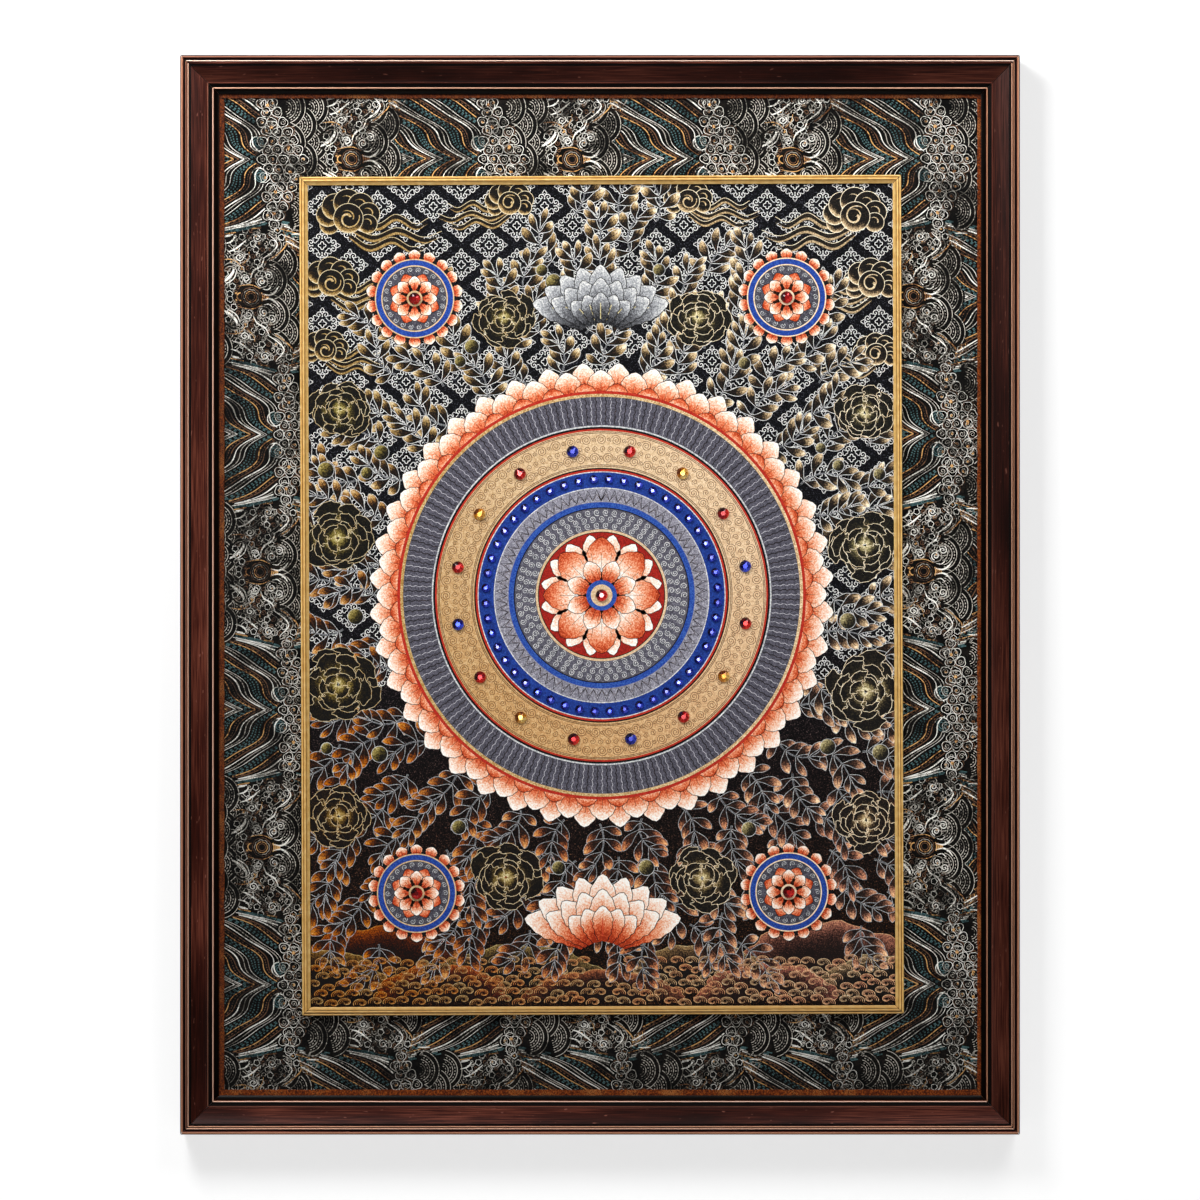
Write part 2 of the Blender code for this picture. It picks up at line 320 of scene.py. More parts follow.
def slab(name, front, back, material, values=None):
    """A thin slab of cloth: a front and a back grid of the same size, given row by row from the top left as
    seen from the front, and a wall round the rim between them."""
    rows, columns = front.shape[:2]
    count = rows * columns
    grid = quads(rows, columns)[:, ::-1]
    numbers = np.arange(count).reshape(rows, columns)
    rim = np.concatenate([numbers[0, :-1], numbers[:-1, -1], numbers[-1, :0:-1], numbers[:0:-1, 0]])
    following = np.roll(rim, -1)
    wall = np.stack([rim, following, following + count, rim + count], axis=1)
    faces = [*grid.tolist(), *(grid[:, ::-1] + count).tolist(), *wall.tolist()]
    points = np.vstack([front.reshape(-1, 3), back.reshape(-1, 3)])
    return add_piece(name, points, faces, material, 40, values)


def brocade_satin():
    """Black silk satin: near black and soft, with an uneven nap of about 1.5 mm. The real threads are finer,
    but would not show in the picture."""
    material, tree = surface("black_brocade_satin", Roughness=0.8, Specular_IOR_Level=0.06)
    place = node(tree, "TexCoord", out="Object")
    fine = node(tree, "TexNoise", {"Vector": place, "Scale": 700.0, "Detail": 3.0})
    broad = node(tree, "TexNoise", {"Vector": place, "Scale": 120.0, "Detail": 2.0})
    nap = node(tree, "Math", {0: fine, 1: broad}, operation="MULTIPLY")
    stops = [(0.12, "#030303"), (0.25, "#0a0908"), (0.4, "#191512")]
    node(tree, "ValToRGB", {"Fac": nap}, stops, feeds="Base Color")
    node(tree, "Bump", {"Height": nap, "Strength": 0.5, "Distance": 0.15 * MM}, feeds="Normal")
    return material


down, along = np.linspace(brocade_high.z, brocade_low.z, 59), np.linspace(brocade_low.x, brocade_high.x, 45)
z, x = np.meshgrid(down, along, indexing="ij")
front, back = [np.stack([x, 0 * x + y, z], axis=2) for y in (brocade_low.y, brocade_high.y)]
brocade = slab("brocade_sheet", front, back, brocade_satin())
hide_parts("brocade_ground")

# --------------------------------------------------------------------------- brocade figures
# The brocade's traditional figures are carried by thick coloured wefts: overlapping waves, a panel of
# standing water in chevrons, a bank of curled florets, and a scroll ornament. They point to the right, each
# row stands half a repeat from the next, and every row is the same above and below its axis.

REPEAT = 151.0  # along the rows; the pattern's lengths are in millimetres
ROW_PITCH = 94.0
FIRST_ROW_UP = 297.7  # the first row's axis above the brocade's middle
FIRST_MOTIF_X = -19.0
WAVE_RADIUS = 14.1
WAVE_UP_STEP = 11.75
WAVE_COLUMN_STEP = 7.8  # so that a wave's centre lies where the two waves to its left meet
WAVE_COMBS = ((19.6, 2), (-21.4, 4))  # before and behind the ornament: the first column, and how many
BANK_PITCH = (7.0, 6.4)  # of the florets, along and up
THREAD_LIFT = 0.05 * MM
CREST = 0.08 * MM  # how high the middle of a padded thread stands over its edges
THREADS_OUTER_EDGE = (263, 344)  # the threads run on under the edge bands as far as this
THREADS_INNER_EDGE = (204.2, 285.2)  # and under the fillet as far as this
PICTURE_TURN = math.radians(0.2)  # of the picture and its fillet, anticlockwise as seen from the front
PICTURE_SHIFT = (1.1, -0.3)
# the ornament's black ground: across, up, half width and half height of each ellipse
ORNAMENT_ELLIPSES = [(-3, 0, 14, 8.5), (-2, 18, 15, 12), (3, 37, 15, 9.5), (-14, 13, 7, 8), (27, 40, 9, 7)]


def facing_front(points, faces):
    """Turns the faces to the front, and drops the ones without area and the unused points. A face's area is
    half the cross product of its diagonals, and is negative for one that faces back."""
    first, second = points[faces[:, 2]] - points[faces[:, 0]], points[faces[:, 3]] - points[faces[:, 1]]
    area = (first[:, 0] * second[:, 1] - first[:, 1] * second[:, 0]) / 2
    faces = np.where((area < 0)[:, None], faces[:, ::-1], faces)[np.abs(area) > 1e-10]
    used, faces = np.unique(faces, return_inverse=True)
    return points[used], faces.reshape(-1, 4)


def grid_faces(shape):
    """The faces of n grids of points that are numbered grid by grid, then row by row."""
    numbers = np.arange(math.prod(shape)).reshape(shape)
    corners = (numbers[:, :-1, :-1], numbers[:, 1:, :-1], numbers[:, 1:, 1:], numbers[:, :-1, 1:])
    return np.stack(corners, axis=3)


def leftward(paths, least):
    """The unit direction to the left of each path at each of its points. Least is added to a stretch's
    length, so that one without length can be divided by it."""
    run = np.gradient(paths, axis=1)
    run = run / (np.linalg.norm(run, axis=2, keepdims=True) + least)
    return np.stack([-run[..., 1], run[..., 0]], axis=2)


def ribbons(paths, width, drawn, crest):
    """Threads along n paths of p points in the cloth's plane. Each point is set half a width to both sides,
    square to the path. With a crest the middle stands that much higher. Drawn says which stretches exist.
    Gives points as across, up and forward, and faces."""
    sides = np.array([-1.0, 0.0, 1.0] if crest else [-1.0, 1.0])
    aside = leftward(paths, 1e-12)[:, :, None, :] * (width / 2)[..., None, None]
    flat = paths[:, :, None, :] + aside * sides[:, None]
    forward = np.broadcast_to(THREAD_LIFT + crest * (1 - np.abs(sides)), flat.shape[:3])
    points = np.concatenate([flat, forward[..., None]], axis=3)
    return facing_front(points.reshape(-1, 3), grid_faces(flat.shape[:3])[drawn].reshape(-1, 4))


def joined(parts):
    """Several (points, faces) pairs as one."""
    starts = np.cumsum([0, *[len(points) for points, _ in parts]])
    faces = [faces + start for (_, faces), start in zip(parts, starts)]
    return np.vstack([points for points, _ in parts]), np.vstack(faces)


def nearest_repeat(x):
    """Distances along the row, brought to between half a repeat behind and half a repeat ahead."""
    return (x + REPEAT / 2) % REPEAT - REPEAT / 2


def discs(centres, radius, from_across=-math.inf):
    """A test that says which points lie in any of the discs, in whichever repeat, and further across than the
    given distance from its centre."""

    def test(points):
        across = nearest_repeat(points[..., None, 0] - centres[:, 0])
        away = np.hypot(across, points[..., None, 1] - centres[:, 1])
        return ((away < radius) & (across > from_across)).any(axis=-1)

    return test


def wave_centres():
    """The waves' centres: in each comb every second column stands a step higher and lower than the others."""
    centres = []
    for first, columns in WAVE_COMBS:
        for column in range(columns):
            ups = (1, -1, 3, -3) if column % 2 else (0, 2, -2)
            centres += [(first - WAVE_COLUMN_STEP * column, up * WAVE_UP_STEP) for up in ups]
    return np.array(centres)


def floret_bank():
    """The bank's florets on and above the axis: rows of a staggered grid that end on a slope, so the bank
    comes to a blunt point. Those above the axis stray by half a millimetre."""
    dice = np.random.default_rng(5)
    places = []
    for i, up in enumerate(np.arange(0, 46, BANK_PITCH[1])):
        tip = 119 - 0.45 * up
        for along in np.arange(90.5 + BANK_PITCH[0] / 2 * (i % 2), tip, BANK_PITCH[0]):
            stray = dice.uniform(-0.5, 0.5, 2) * (up > 0)
            places.append((along + stray[0], up + stray[1]))
    return np.array(places)


def mirrored(paths):
    """The paths and their reflection in the row's axis."""
    return np.concatenate([paths, paths * [1, -1]])


def stretches(inside):
    """A stretch is drawn where both its ends are."""
    return inside[:, :-1] & inside[:, 1:]


waves = wave_centres()
florets = floret_bank()
florets_below = florets[florets[:, 1] > 1] * [1, -1]
in_waves = discs(waves, WAVE_RADIUS, 0.0)
in_bank = discs(np.concatenate([florets, florets_below]), 4.3)


def in_ornament(points):
    """True inside any of the ornament's ellipses, above or below the axis."""
    inside = np.zeros(points.shape[:-1], bool)
    for x, up, wide, tall in ORNAMENT_ELLIPSES:
        across, away = nearest_repeat(points[..., 0] - x), np.abs(points[..., 1]) - up
        inside |= (across / wide) ** 2 + (away / tall) ** 2 < 1
    return inside


def in_next_row(points):
    """The same points as the next row up or down sees them: half a repeat on, and from its own axis."""
    return np.stack([points[..., 0] + REPEAT / 2, ROW_PITCH - np.abs(points[..., 1])], axis=-1)


def in_open_waves(points):
    """True in the waves, but for the strip where the bank of florets begins and no wave is drawn."""
    along = points[..., 0] % REPEAT
    return in_waves(points) & ~((along > 80) & (along < 102))


def in_panel(points):
    """True in the panel of standing water: between the waves behind it and the bank of florets before it, as
    far up and down as the figures of the next rows."""
    along, beyond = points[..., 0] % REPEAT, in_next_row(points)
    taken = in_ornament(beyond)
    for seen in (points, beyond):
        taken |= in_open_waves(seen) | in_bank(seen)
    return (along > 18) & (along < 92) & ~taken


def wave_drawn(points):
    """True where each wave's lines show: not behind a wave whose centre lies further left, nor under the bank
    or the ornament."""
    further_left = waves[None, :, 0] < waves[:, None, 0] - WAVE_COLUMN_STEP / 2
    apart = points[:, :, None, :] - waves
    hidden = ((np.hypot(apart[..., 0], apart[..., 1]) < WAVE_RADIUS) & further_left[:, None, :]).any(axis=2)
    return in_open_waves(points) & ~hidden & ~in_bank(points) & ~in_ornament(points)


def laid(paths):
    """The paths of one motif repeated over the whole cloth, in metres. The cloth was laid a little crooked:
    it drifts to the right on its way down, by an amount that levels off, and its rows are not straight."""
    starts = [
        (FIRST_MOTIF_X + REPEAT * (k + 0.5 * (row % 2)), FIRST_ROW_UP - ROW_PITCH * row)
        for row in range(-1, 9) for k in range(-3, 4)
    ]
    spread = (np.array(starts)[:, None, None, :] + paths[None]).reshape(-1, *paths.shape[1:])
    x, up = spread[..., 0], spread[..., 1]
    fallen = np.maximum(0, FIRST_ROW_UP - up)
    drift = 15 * (1 - np.exp(-fallen / 136))
    sway = 0.5 * np.sin(up / 19) + 0.3 * np.sin(x / 31 + up / 47)
    return np.stack([x + drift + sway, up + 0.4 * np.sin(x / 27)], axis=-1) * MM


def uncovered(paths):
    """Which stretches of the laid paths are kept: those that show between the edge bands and the fillet, and
    a little under both."""
    x, up = paths[..., 0] / MM, paths[..., 1] / MM
    on_cloth = (np.abs(x) < THREADS_OUTER_EDGE[0]) & (np.abs(up) < THREADS_OUTER_EDGE[1])
    turned_x = (x - PICTURE_SHIFT[0]) + up * PICTURE_TURN
    turned_up = (up - PICTURE_SHIFT[1]) - x * PICTURE_TURN
    outside = (np.abs(turned_x) > THREADS_INNER_EDGE[0]) | (np.abs(turned_up) > THREADS_INNER_EDGE[1])
    return stretches(on_cloth & outside)


wefts = {colour: [] for colour in ("white", "grey", "wave", "teal", "gold", "brown")}


def weave(colour, paths, width, drawn=None, crest=0.0):
    """Adds a motif's threads of one colour to the cloth, wherever the cloth shows. The paths and their width
    are in millimetres."""
    placed = laid(paths)
    repeats = len(placed) // len(paths)
    shows = uncovered(placed)
    if drawn is not None:
        shows &= np.tile(drawn, (repeats, 1))
    wide = np.tile(np.broadcast_to(width, paths.shape[:2]), (repeats, 1)) * MM
    kept = shows.any(axis=1)
    wefts[colour].append(ribbons(placed[kept], wide[kept], shows[kept], crest))


# waves: an outer line, a black band, then lines that are dotted and solid by turns
WAVE_LINES = [
    # radius, width, dotted
    (13.8, 0.42, False), (10.7, 0.5, False), (9.1, 0.5, True), (7.5, 0.45, False), (6.0, 0.45, True),
    (4.4, 0.42, False), (2.8, 0.42, True),
]
for radius, width, dotted in WAVE_LINES:
    steps = round(radius * 2.4) if dotted else round(8 + radius)
    turn = np.radians(np.linspace(-78, 78, steps + 1))
    paths = waves[:, None, :] + radius * np.stack([np.cos(turn), np.sin(turn)], axis=1)
    drawn = stretches(wave_drawn(paths))
    if dotted:
        drawn &= np.arange(steps) % 2 < 1
    weave("wave", paths, width, drawn)

# standing water: lines that follow one another in chevrons
WATER_REPEAT = 20.2
FIRST_APEX = 57.5
WATER_LINES = [
    # place in the repeat of the lines along the axis, width, colour, dotted
    (0.0, 0.85, "white", False), (2.6, 0.5, "grey", False), (4.9, 0.4, "white", False),
    (7.6, 0.8, "teal", True), (9.4, 0.8, "teal", True), (11.2, 0.8, "teal", True),
    (13.4, 0.6, "gold", False), (15.4, 0.6, "brown", True), (17.2, 0.6, "brown", False),
]
up = np.linspace(0, 60, 73)
# from its apex a line runs back in waves of 26 mm, and sweeps back faster from 31 mm up
swept = 0.8 + 1.35 * up + 3.5 * np.sin(2 * math.pi * (up - 1) / 26) + 0.1 * np.maximum(0, up - 31) ** 2
fanned = 1 + 0.0103 * up
for place, width, colour, dotted in WATER_LINES:
    along = place + WATER_REPEAT * np.arange(-2, 6)[:, None]
    stray = 0.4 * np.sin(along * 0.7 + up * 0.21)
    paths = np.stack([FIRST_APEX + along * fanned - swept + stray, 0 * along + up], axis=2)
    drawn = stretches(in_panel(paths))
    if dotted:
        drawn &= (np.arange(drawn.shape[1]) + np.arange(len(drawn))[:, None] + round(place)) % 2 < 1
    crest = 0.0
    if colour == "white":
        # the bold line swells and thins like a brush stroke
        width = width * (0.55 + 0.45 * np.sin(up * 0.19 + along) ** 2)
        crest = 0.12 * MM
    wide = np.tile(np.broadcast_to(width, paths.shape[:2]), (2, 1))
    weave(colour, mirrored(paths), wide, np.concatenate([drawn, drawn]), crest)


def curls(places, inner, outer, turns, phase, steps=26):
    """Spirals: the radius grows evenly from inner to outer while the angle makes the turns."""
    t = np.linspace(0, 1, steps)
    angle = np.asarray(phase)[:, None] + 2 * math.pi * turns * t
    radius = (inner + (outer - inner) * t)[:, None]
    return np.asarray(places)[:, None, :] + np.stack([np.cos(angle), np.sin(angle)], axis=2) * radius


def lobes(places, radius, depth, count, phase, steps=31):
    """Lobed rings: the radius rises and falls with the absolute sine of half the lobes' angle."""
    angle = np.linspace(0, 2 * math.pi, steps)
    size = radius + depth * np.abs(np.sin(count * (angle + np.asarray(phase)[:, None]) / 2))
    return np.asarray(places)[:, None, :] + np.stack([np.cos(angle) * size, np.sin(angle) * size], axis=2)


# florets: a curled ring round a smaller one, silver and brown by turns, some with gold hearts
for places, flip in ((florets, 1), (florets_below, -1)):
    spin = np.arange(len(places)) * 2.4 * flip
    weave("white", lobes(places, 2.8, 0.8, 3, spin, 24), 0.36)
    weave("wave", curls(places, 0.4, 2.1, 1.3 * flip, spin + 0.5, 18), 0.34)
    weave("brown", lobes(places[1::2] + [0.9, 0.6], 3.3, 0.5, 4, spin[1::2] + 0.5, 22), 0.5)
    weave("gold", curls(places[1::3], 0.2, 0.9, 0.9, spin[1::3], 9), 0.8)
# larger silver rings with gold hearts in the bank
rosettes = np.array([(97.0, 22.0), (97.0, -22.0), (108.5, 8.6), (108.5, -8.6), (94.5, 37.0), (94.5, -37.0)])
weave("white", lobes(rosettes, 3.9, 0.8, 4, np.arange(6) * 0.7, 33), 0.4)
weave("gold", lobes(rosettes, 0.6, 0.1, 4, np.arange(6) * 1.0, 10), 1.0, crest=CREST)
# the teal eddies where the water meets the bank
eddies = np.array([(87.5, 11.0), (87.5, -11.0)])
weave("teal", curls(eddies, 0.8, 4.4, 2.4, [0.0, math.pi], 44), 0.7)
weave("white", curls(eddies, 4.6, 5.4, 0.7, [1.6, -1.6], 16), 0.6)


def brushed(points, steps=22):
    """A smooth line through a few points. Between two of them it is a cubic, whose slope at each is half the
    way from the point before it to the point after."""
    given = np.array(points, float)
    given = np.vstack([2 * given[0] - given[1], given, 2 * given[-1] - given[-2]])
    share = np.linspace(0, len(points) - 1, steps)
    span = np.minimum(share.astype(int), len(points) - 2)
    t = (share - span)[:, None]
    a, b, c, d = [given[span + i] for i in range(4)]
    return (b + t / 2 * (c - a + t * (2 * a - 5 * b + 4 * c - d + t * (3 * (b - c) + d - a))))[None]


# ornament: small rings, hooks and hatching on the black ground
dice = np.random.default_rng(9)
across_bed, up_bed = np.meshgrid(np.arange(-24, 38, 4.5), np.arange(2.2, 48, 4.3))
bed = np.stack([across_bed + 2.2 * (np.arange(len(across_bed))[:, None] % 2), up_bed], axis=2).reshape(-1, 2)
bed = bed[in_ornament(bed) & (np.hypot(*bed.T) > 9.5)]
bed = bed + dice.uniform(-0.7, 0.7, bed.shape)
spin = dice.uniform(0, 6, len(bed))
for flip in (1, -1):
    places, turned = bed * [1, flip], spin * flip
    weave("white", lobes(places[::3], 1.6, 0.6, 5, turned[::3], 19), 0.34)
    weave("brown", curls(places[1::3], 0.4, 1.9, 1.2 * flip, turned[1::3], 13), 0.5)
    weave("wave", curls(places[2::3], 0.3, 2.0, 1.0 * flip, turned[2::3], 12), 0.42)
    weave("gold", curls(places[1::5], 0.2, 0.6, 0.8, turned[1::5], 6), 0.7)
    # hatching between the rings
    for shift in (-0.9, 0.0, 0.9):
        start = places[::2] + [2.1 + shift * 0.4, 1.9 * flip + shift]
        reach = np.array([[0, 0], [1.6, 0.9 * flip]])
        weave("wave", start[:, None, :] + reach, 0.36)

# the ringed eye, with a gold crescent behind it and gold bars that close to a point before it
eye = np.array([(0.0, 0.0)])
weave("brown", lobes(eye, 2.4, 0.0, 1, [0.0], 25), 0.5)
weave("gold", lobes(eye, 3.7, 0.0, 1, [0.0], 29), 0.42)
weave("grey", lobes(eye, 4.7, 0.5, 9, [0.0], 46), 0.42)
weave("brown", lobes(eye, 6.1, 0.4, 7, [0.0], 43), 0.42)
weave("gold", curls([(-7.0, 0.0)], 2.6, 2.6, 0.5, [math.pi / 2], 14), 0.8, crest=CREST)
bars = np.linspace(-1, 1, 8)
for along, reach in ((7.4, 2.9), (8.7, 2.3), (10.0, 1.6), (11.2, 0.9)):
    bowed = np.stack([along + 0.8 * (1 - bars**2), bars * reach], axis=1)[None]
    weave("gold", bowed, 0.9, crest=CREST)

# brush strokes round the eye: the points of each, its width and its colour. The white ones are padded.
STROKES = [
    ([(7.5, 2.2), (12.5, 1.2), (16.5, 3.2), (19.0, 6.6)], 1.15, "white"),
    ([(8.5, 5.4), (12.0, 5.0), (14.5, 7.4)], 0.7, "white"),
    ([(-20.5, 9.0), (-15.5, 12.0), (-11.5, 16.5), (-11.0, 19.0)], 1.8, "white"),
    ([(-17.5, 8.0), (-11.0, 12.5), (-8.6, 18.5)], 0.7, "white"),
    ([(-19.0, 17.0), (-14.0, 20.5), (-9.5, 19.0), (-7.5, 14.0)], 0.7, "grey"),
    ([(-19.0, 19.5), (-13.5, 23.0), (-7.5, 20.5), (-5.0, 14.0)], 0.6, "grey"),
    ([(-19.0, 25.0), (-13.0, 25.5), (-8.0, 23.5), (-3.0, 17.0)], 0.7, "gold"),
    ([(-10.0, 6.5), (-4.0, 8.0), (1.5, 8.0), (7.0, 5.5)], 0.6, "gold"),
    ([(-14.5, 30.5), (-10.0, 32.0), (-5.0, 35.5), (-1.0, 39.0)], 1.1, "white"),
    ([(-13.0, 28.0), (-8.0, 29.5), (-3.0, 33.0), (1.0, 36.5)], 0.6, "grey"),
    ([(-16.5, 36.0), (-11.5, 37.5), (-8.5, 41.0)], 0.95, "white"),
    ([(0.5, 13.0), (3.0, 18.0), (8.0, 21.0), (10.5, 26.0)], 0.95, "white"),
    ([(3.0, 12.0), (5.5, 16.5), (10.5, 19.5)], 0.6, "grey"),
    ([(9.5, 26.0), (16.5, 31.0), (20.0, 36.5), (14.0, 43.5)], 0.85, "white"),
    ([(6.5, 27.0), (13.5, 32.5), (16.5, 36.5), (11.0, 42.0)], 0.6, "grey"),
    ([(12.5, 25.0), (19.5, 30.0), (23.0, 36.0), (17.0, 45.0)], 0.6, "grey"),
    ([(14.5, 25.5), (21.5, 30.5), (26.5, 37.0), (24.5, 46.0)], 0.8, "gold"),
    ([(-4.5, 22.0), (-0.5, 26.5), (0.5, 31.0)], 0.6, "gold"),
    ([(30.0, 43.0), (34.0, 43.2), (38.5, 43.0)], 0.85, "white"),
    ([(30.0, 40.6), (34.0, 40.9), (38.5, 40.4)], 0.5, "grey"),
    ([(30.0, 45.6), (34.0, 45.9), (38.5, 45.6)], 0.5, "grey"),
]
tapered = np.sin(math.pi * np.linspace(0.06, 0.94, 22)) ** 0.6
for points, width, colour in STROKES:
    weave(colour, mirrored(brushed(points)), width * tapered, crest=0.1 * MM if colour == "white" else 0.0)
# fins: arcs that stand over one another beyond the last gold stroke
for flip in (1, -1):
    for radius, colour in ((1.8, "brown"), (3.1, "gold"), (4.4, "brown"), (5.7, "gold"), (7.0, "brown")):
        fin = curls([(27.5, 33.5 * flip)], radius, radius, 0.33 * flip, [-0.2 * flip], 12)
        weave(colour, fin, 0.6)
# ring scrolls among the strokes
scrolls = np.array([(-3.0, 12.5), (8.0, 10.5), (6.5, 40.5), (-6.5, 27.0), (13.0, 14.5)])
for flip in (1, -1):
    turned = np.arange(len(scrolls)) * 1.3 * flip
    weave("white", curls(scrolls * [1, flip], 0.5, 3.0, 1.5 * flip, turned, 26), 0.6)
    weave("grey", lobes(scrolls * [1, flip], 3.8, 0.5, 5, turned, 31), 0.5)


def silk(name, codes, metallic=0.0, roughness=0.6):
    """Thick weft of twisted silk or metal-wrapped thread. Its tone flickers every millimetre, where the
    ground's warps bind it, and wanders over 15 mm. The real bindings are finer. An attribute darkens it as
    painted shade, where less light falls."""
    material, tree = surface(name, Metallic=metallic, Roughness=roughness, Specular_IOR_Level=0.15)
    place = node(tree, "TexCoord", out="Object")
    fleck = node(tree, "TexNoise", {"Vector": place, "Scale": 1000.0, "Detail": 2.0})
    drift = node(tree, "TexNoise", {"Vector": place, "Scale": 60.0, "Detail": 2.0})
    tone = node(tree, "Math", {0: fleck, 1: drift}, operation="ADD")
    colour = node(tree, "ValToRGB", {"Fac": tone}, list(zip((0.75, 1.0, 1.2), codes)))
    # painted shade, toward near black
    foot_and_left_shade = node(tree, "Attribute", out="Fac", attribute_name="foot_and_left_shade")
    node(tree, "MixRGB", {"Fac": foot_and_left_shade, "Color1": colour, "Color2": linear("#0c0b0a")}, feeds="Base Color")
    node(tree, "Bump", {"Height": fleck, "Strength": 0.5, "Distance": 0.15 * MM}, feeds="Normal")
    return material


SILKS = {
    # name, dark, middle and light colour; the gold one's metallic and roughness too
    "white": ("white_silk_weft", ("#7f7c74", "#c4c0b7", "#f0eee6")),
    "grey": ("pale_grey_silk_weft", ("#2c2926", "#625d55", "#a8a298")),
    "wave": ("silver_grey_silk_weft", ("#35322d", "#787269", "#c6c0b5")),
    "teal": ("teal_silk_weft", ("#152425", "#2a4345", "#466466")),
    "gold": ("copper_gold_weft", ("#3e220c", "#7c5230", "#cf9f62"), 0.2, 0.5),
    "brown": ("brown_silk_weft", ("#1a0f09", "#3a281b", "#664630")),
}


def flat_map(points):
    """A UV map from straight in front, so that what is baked for flat work keeps its place."""
    return (points[:, [0, 2]] - [cad_low.x, cad_low.z]) / FRAME_HEIGHT


for colour, parts in wefts.items():
    points, faces = joined(parts)
    across, up, forward = points.T
    # painted shade: the threads are darkened along the cloth's foot and, below the top, down its left strip
    foot, left = np.clip(-up / 0.33, 0, 1) ** 6, np.clip(-across / 0.23, 0, 1) ** 6
    foot_and_left_shade = np.maximum(0.42 * foot, 0.33 * left * np.clip((0.26 - up) / 0.1, 0, 1))
    points = np.stack([across, brocade_low.y - forward, up + MIDDLE_Z], axis=1)
    name, values, uv = f"brocade_{colour}_wefts", {"foot_and_left_shade": foot_and_left_shade}, {"OFBake": flat_map(points)}
    figure = add_piece(name, points, faces.tolist(), silk(*SILKS[colour]), values=values, uv=uv)

# --------------------------------------------------------------------------- edge bands
# Strips of rust-coloured brocade with gold flecks, cut by hand, so their inner edges wander by half a
# millimetre. The frame's lip holds them on the black brocade.


def rust_brocade():
    """Rust-brown silk with small gold flecks of about 1 mm, in sprigs of 15 mm. An attribute darkens the
    strip toward black as painted shade."""
    material, tree = surface("rust_brocade_silk", Roughness=0.7, Specular_IOR_Level=0.1)
    place = node(tree, "TexCoord", out="Object")
    threads, flecks, sprigs = [
        node(tree, "TexNoise", {"Vector": place, "Scale": scale, "Detail": detail})
        for scale, detail in ((900.0, 2.0), (1300.0, 1.0), (55.0, 0.0))
    ]
    rust = node(tree, "ValToRGB", {"Fac": threads}, [(0.3, "#2c0e04"), (0.5, "#5a2408"), (0.7, "#8a4416")])
    both = node(tree, "Math", {0: flecks, 1: sprigs}, operation="MULTIPLY")
    gold = node(tree, "MapRange", {"Value": both, "From Min": 0.33, "From Max": 0.4})
    flecked = node(tree, "MixRGB", {"Fac": gold, "Color1": rust, "Color2": linear("#8c552a")})
    # painted shade, on the top and left bands
    band_shade = node(tree, "Attribute", out="Fac", attribute_name="band_shade")
    node(tree, "MixRGB", {"Fac": band_shade, "Color1": flecked, "Color2": linear("#0c0604")}, feeds="Base Color")
    node(tree, "Bump", {"Height": threads, "Strength": 0.6, "Distance": 0.2 * MM}, feeds="Normal")
    return material


# painted shade on each band: the top one lies under the frame's lip
BAND_PAINTED_SHADE = {"top": 0.45, "right": 0.0, "bottom": 0.0, "left": 0.42}


def wandering(distance, seed):
    """How far a hand-cut edge strays at each distance along it: three sines whose lengths don't repeat."""
    sizes, lengths = np.array([(0.23, 0.14, 0.08), (61, 23, 9.7)]) * MM
    phases = seed * np.array([1, 2, 3])
    return (sizes * np.sin(distance[:, None] / lengths * 2 * math.pi + phases)).sum(axis=1)


def edge_band(side, seed, material):
    """A band as a slab of cloth: its outer edge is straight, and its inner edge wanders."""
    low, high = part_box(f"edge_band_{side}")
    upright, far = side in ("left", "right"), side in ("right", "top")
    start, end = (low.z, high.z) if upright else (low.x, high.x)
    along = np.linspace(start, end, round((end - start) / (2 * MM)) + 1)
    inner, outer = (high.x, low.x) if upright else (high.z, low.z)
    if far:
        inner, outer = outer, inner
    edge = inner + np.sign(outer - inner) * np.abs(wandering(along, seed))
    spread = outer + (edge - outer) * np.linspace(0, 1, 5)[:, None]
    run = np.broadcast_to(along, spread.shape)
    # turned until the grid's rows run down and its columns to the right
    if upright:
        x, z = spread.T[::-1], run.T[::-1]
    else:
        x, z = run, spread
    if side == "right":
        x, z = x[:, ::-1], z[:, ::-1]
    if side == "bottom":
        x, z = x[::-1], z[::-1]
    front, back = [np.stack([x, 0 * x + y, z], axis=2) for y in (low.y, high.y)]
    band_shade = np.full(2 * x.size, BAND_PAINTED_SHADE[side])
    band = slab(f"rust_band_{side}", front, back, material, {"band_shade": band_shade})
    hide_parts(f"edge_band_{side}")
    return band


rust = rust_brocade()
bands = [edge_band(side, seed + 1.3, rust) for seed, side in enumerate(SIDES)]

# --------------------------------------------------------------------------- picture cloth
# Cotton, primed and painted charcoal, with umber washed over its foot. The cloth's threads show as a fine
# matt grain. It lies on the brocade, turned by a fifth of a degree, and the fillet covers its edge.

PICTURE_CLOTH = (405.9 * MM, 567.0 * MM)  # the cut size, with what the fillet covers
PICTURE_FRONT = -13.0 * MM
CLOTH_THICKNESS = 1.2 * MM
GRID_INSET = 0.4 * MM  # the slab ends this far inside the solid's edge


def in_picture(u, v, depth):
    """Points in the picture's own frame, u to the right and v up from its middle, put into the object's
    frame: a turn, then a shift. Depth is how far they stand in front of the cloth."""
    cos, sin = math.cos(PICTURE_TURN), math.sin(PICTURE_TURN)
    x = u * cos - v * sin + PICTURE_SHIFT[0] * MM
    z = u * sin + v * cos + PICTURE_SHIFT[1] * MM + MIDDLE_Z
    return np.stack([x, PICTURE_FRONT - depth + 0 * x, z], axis=-1)


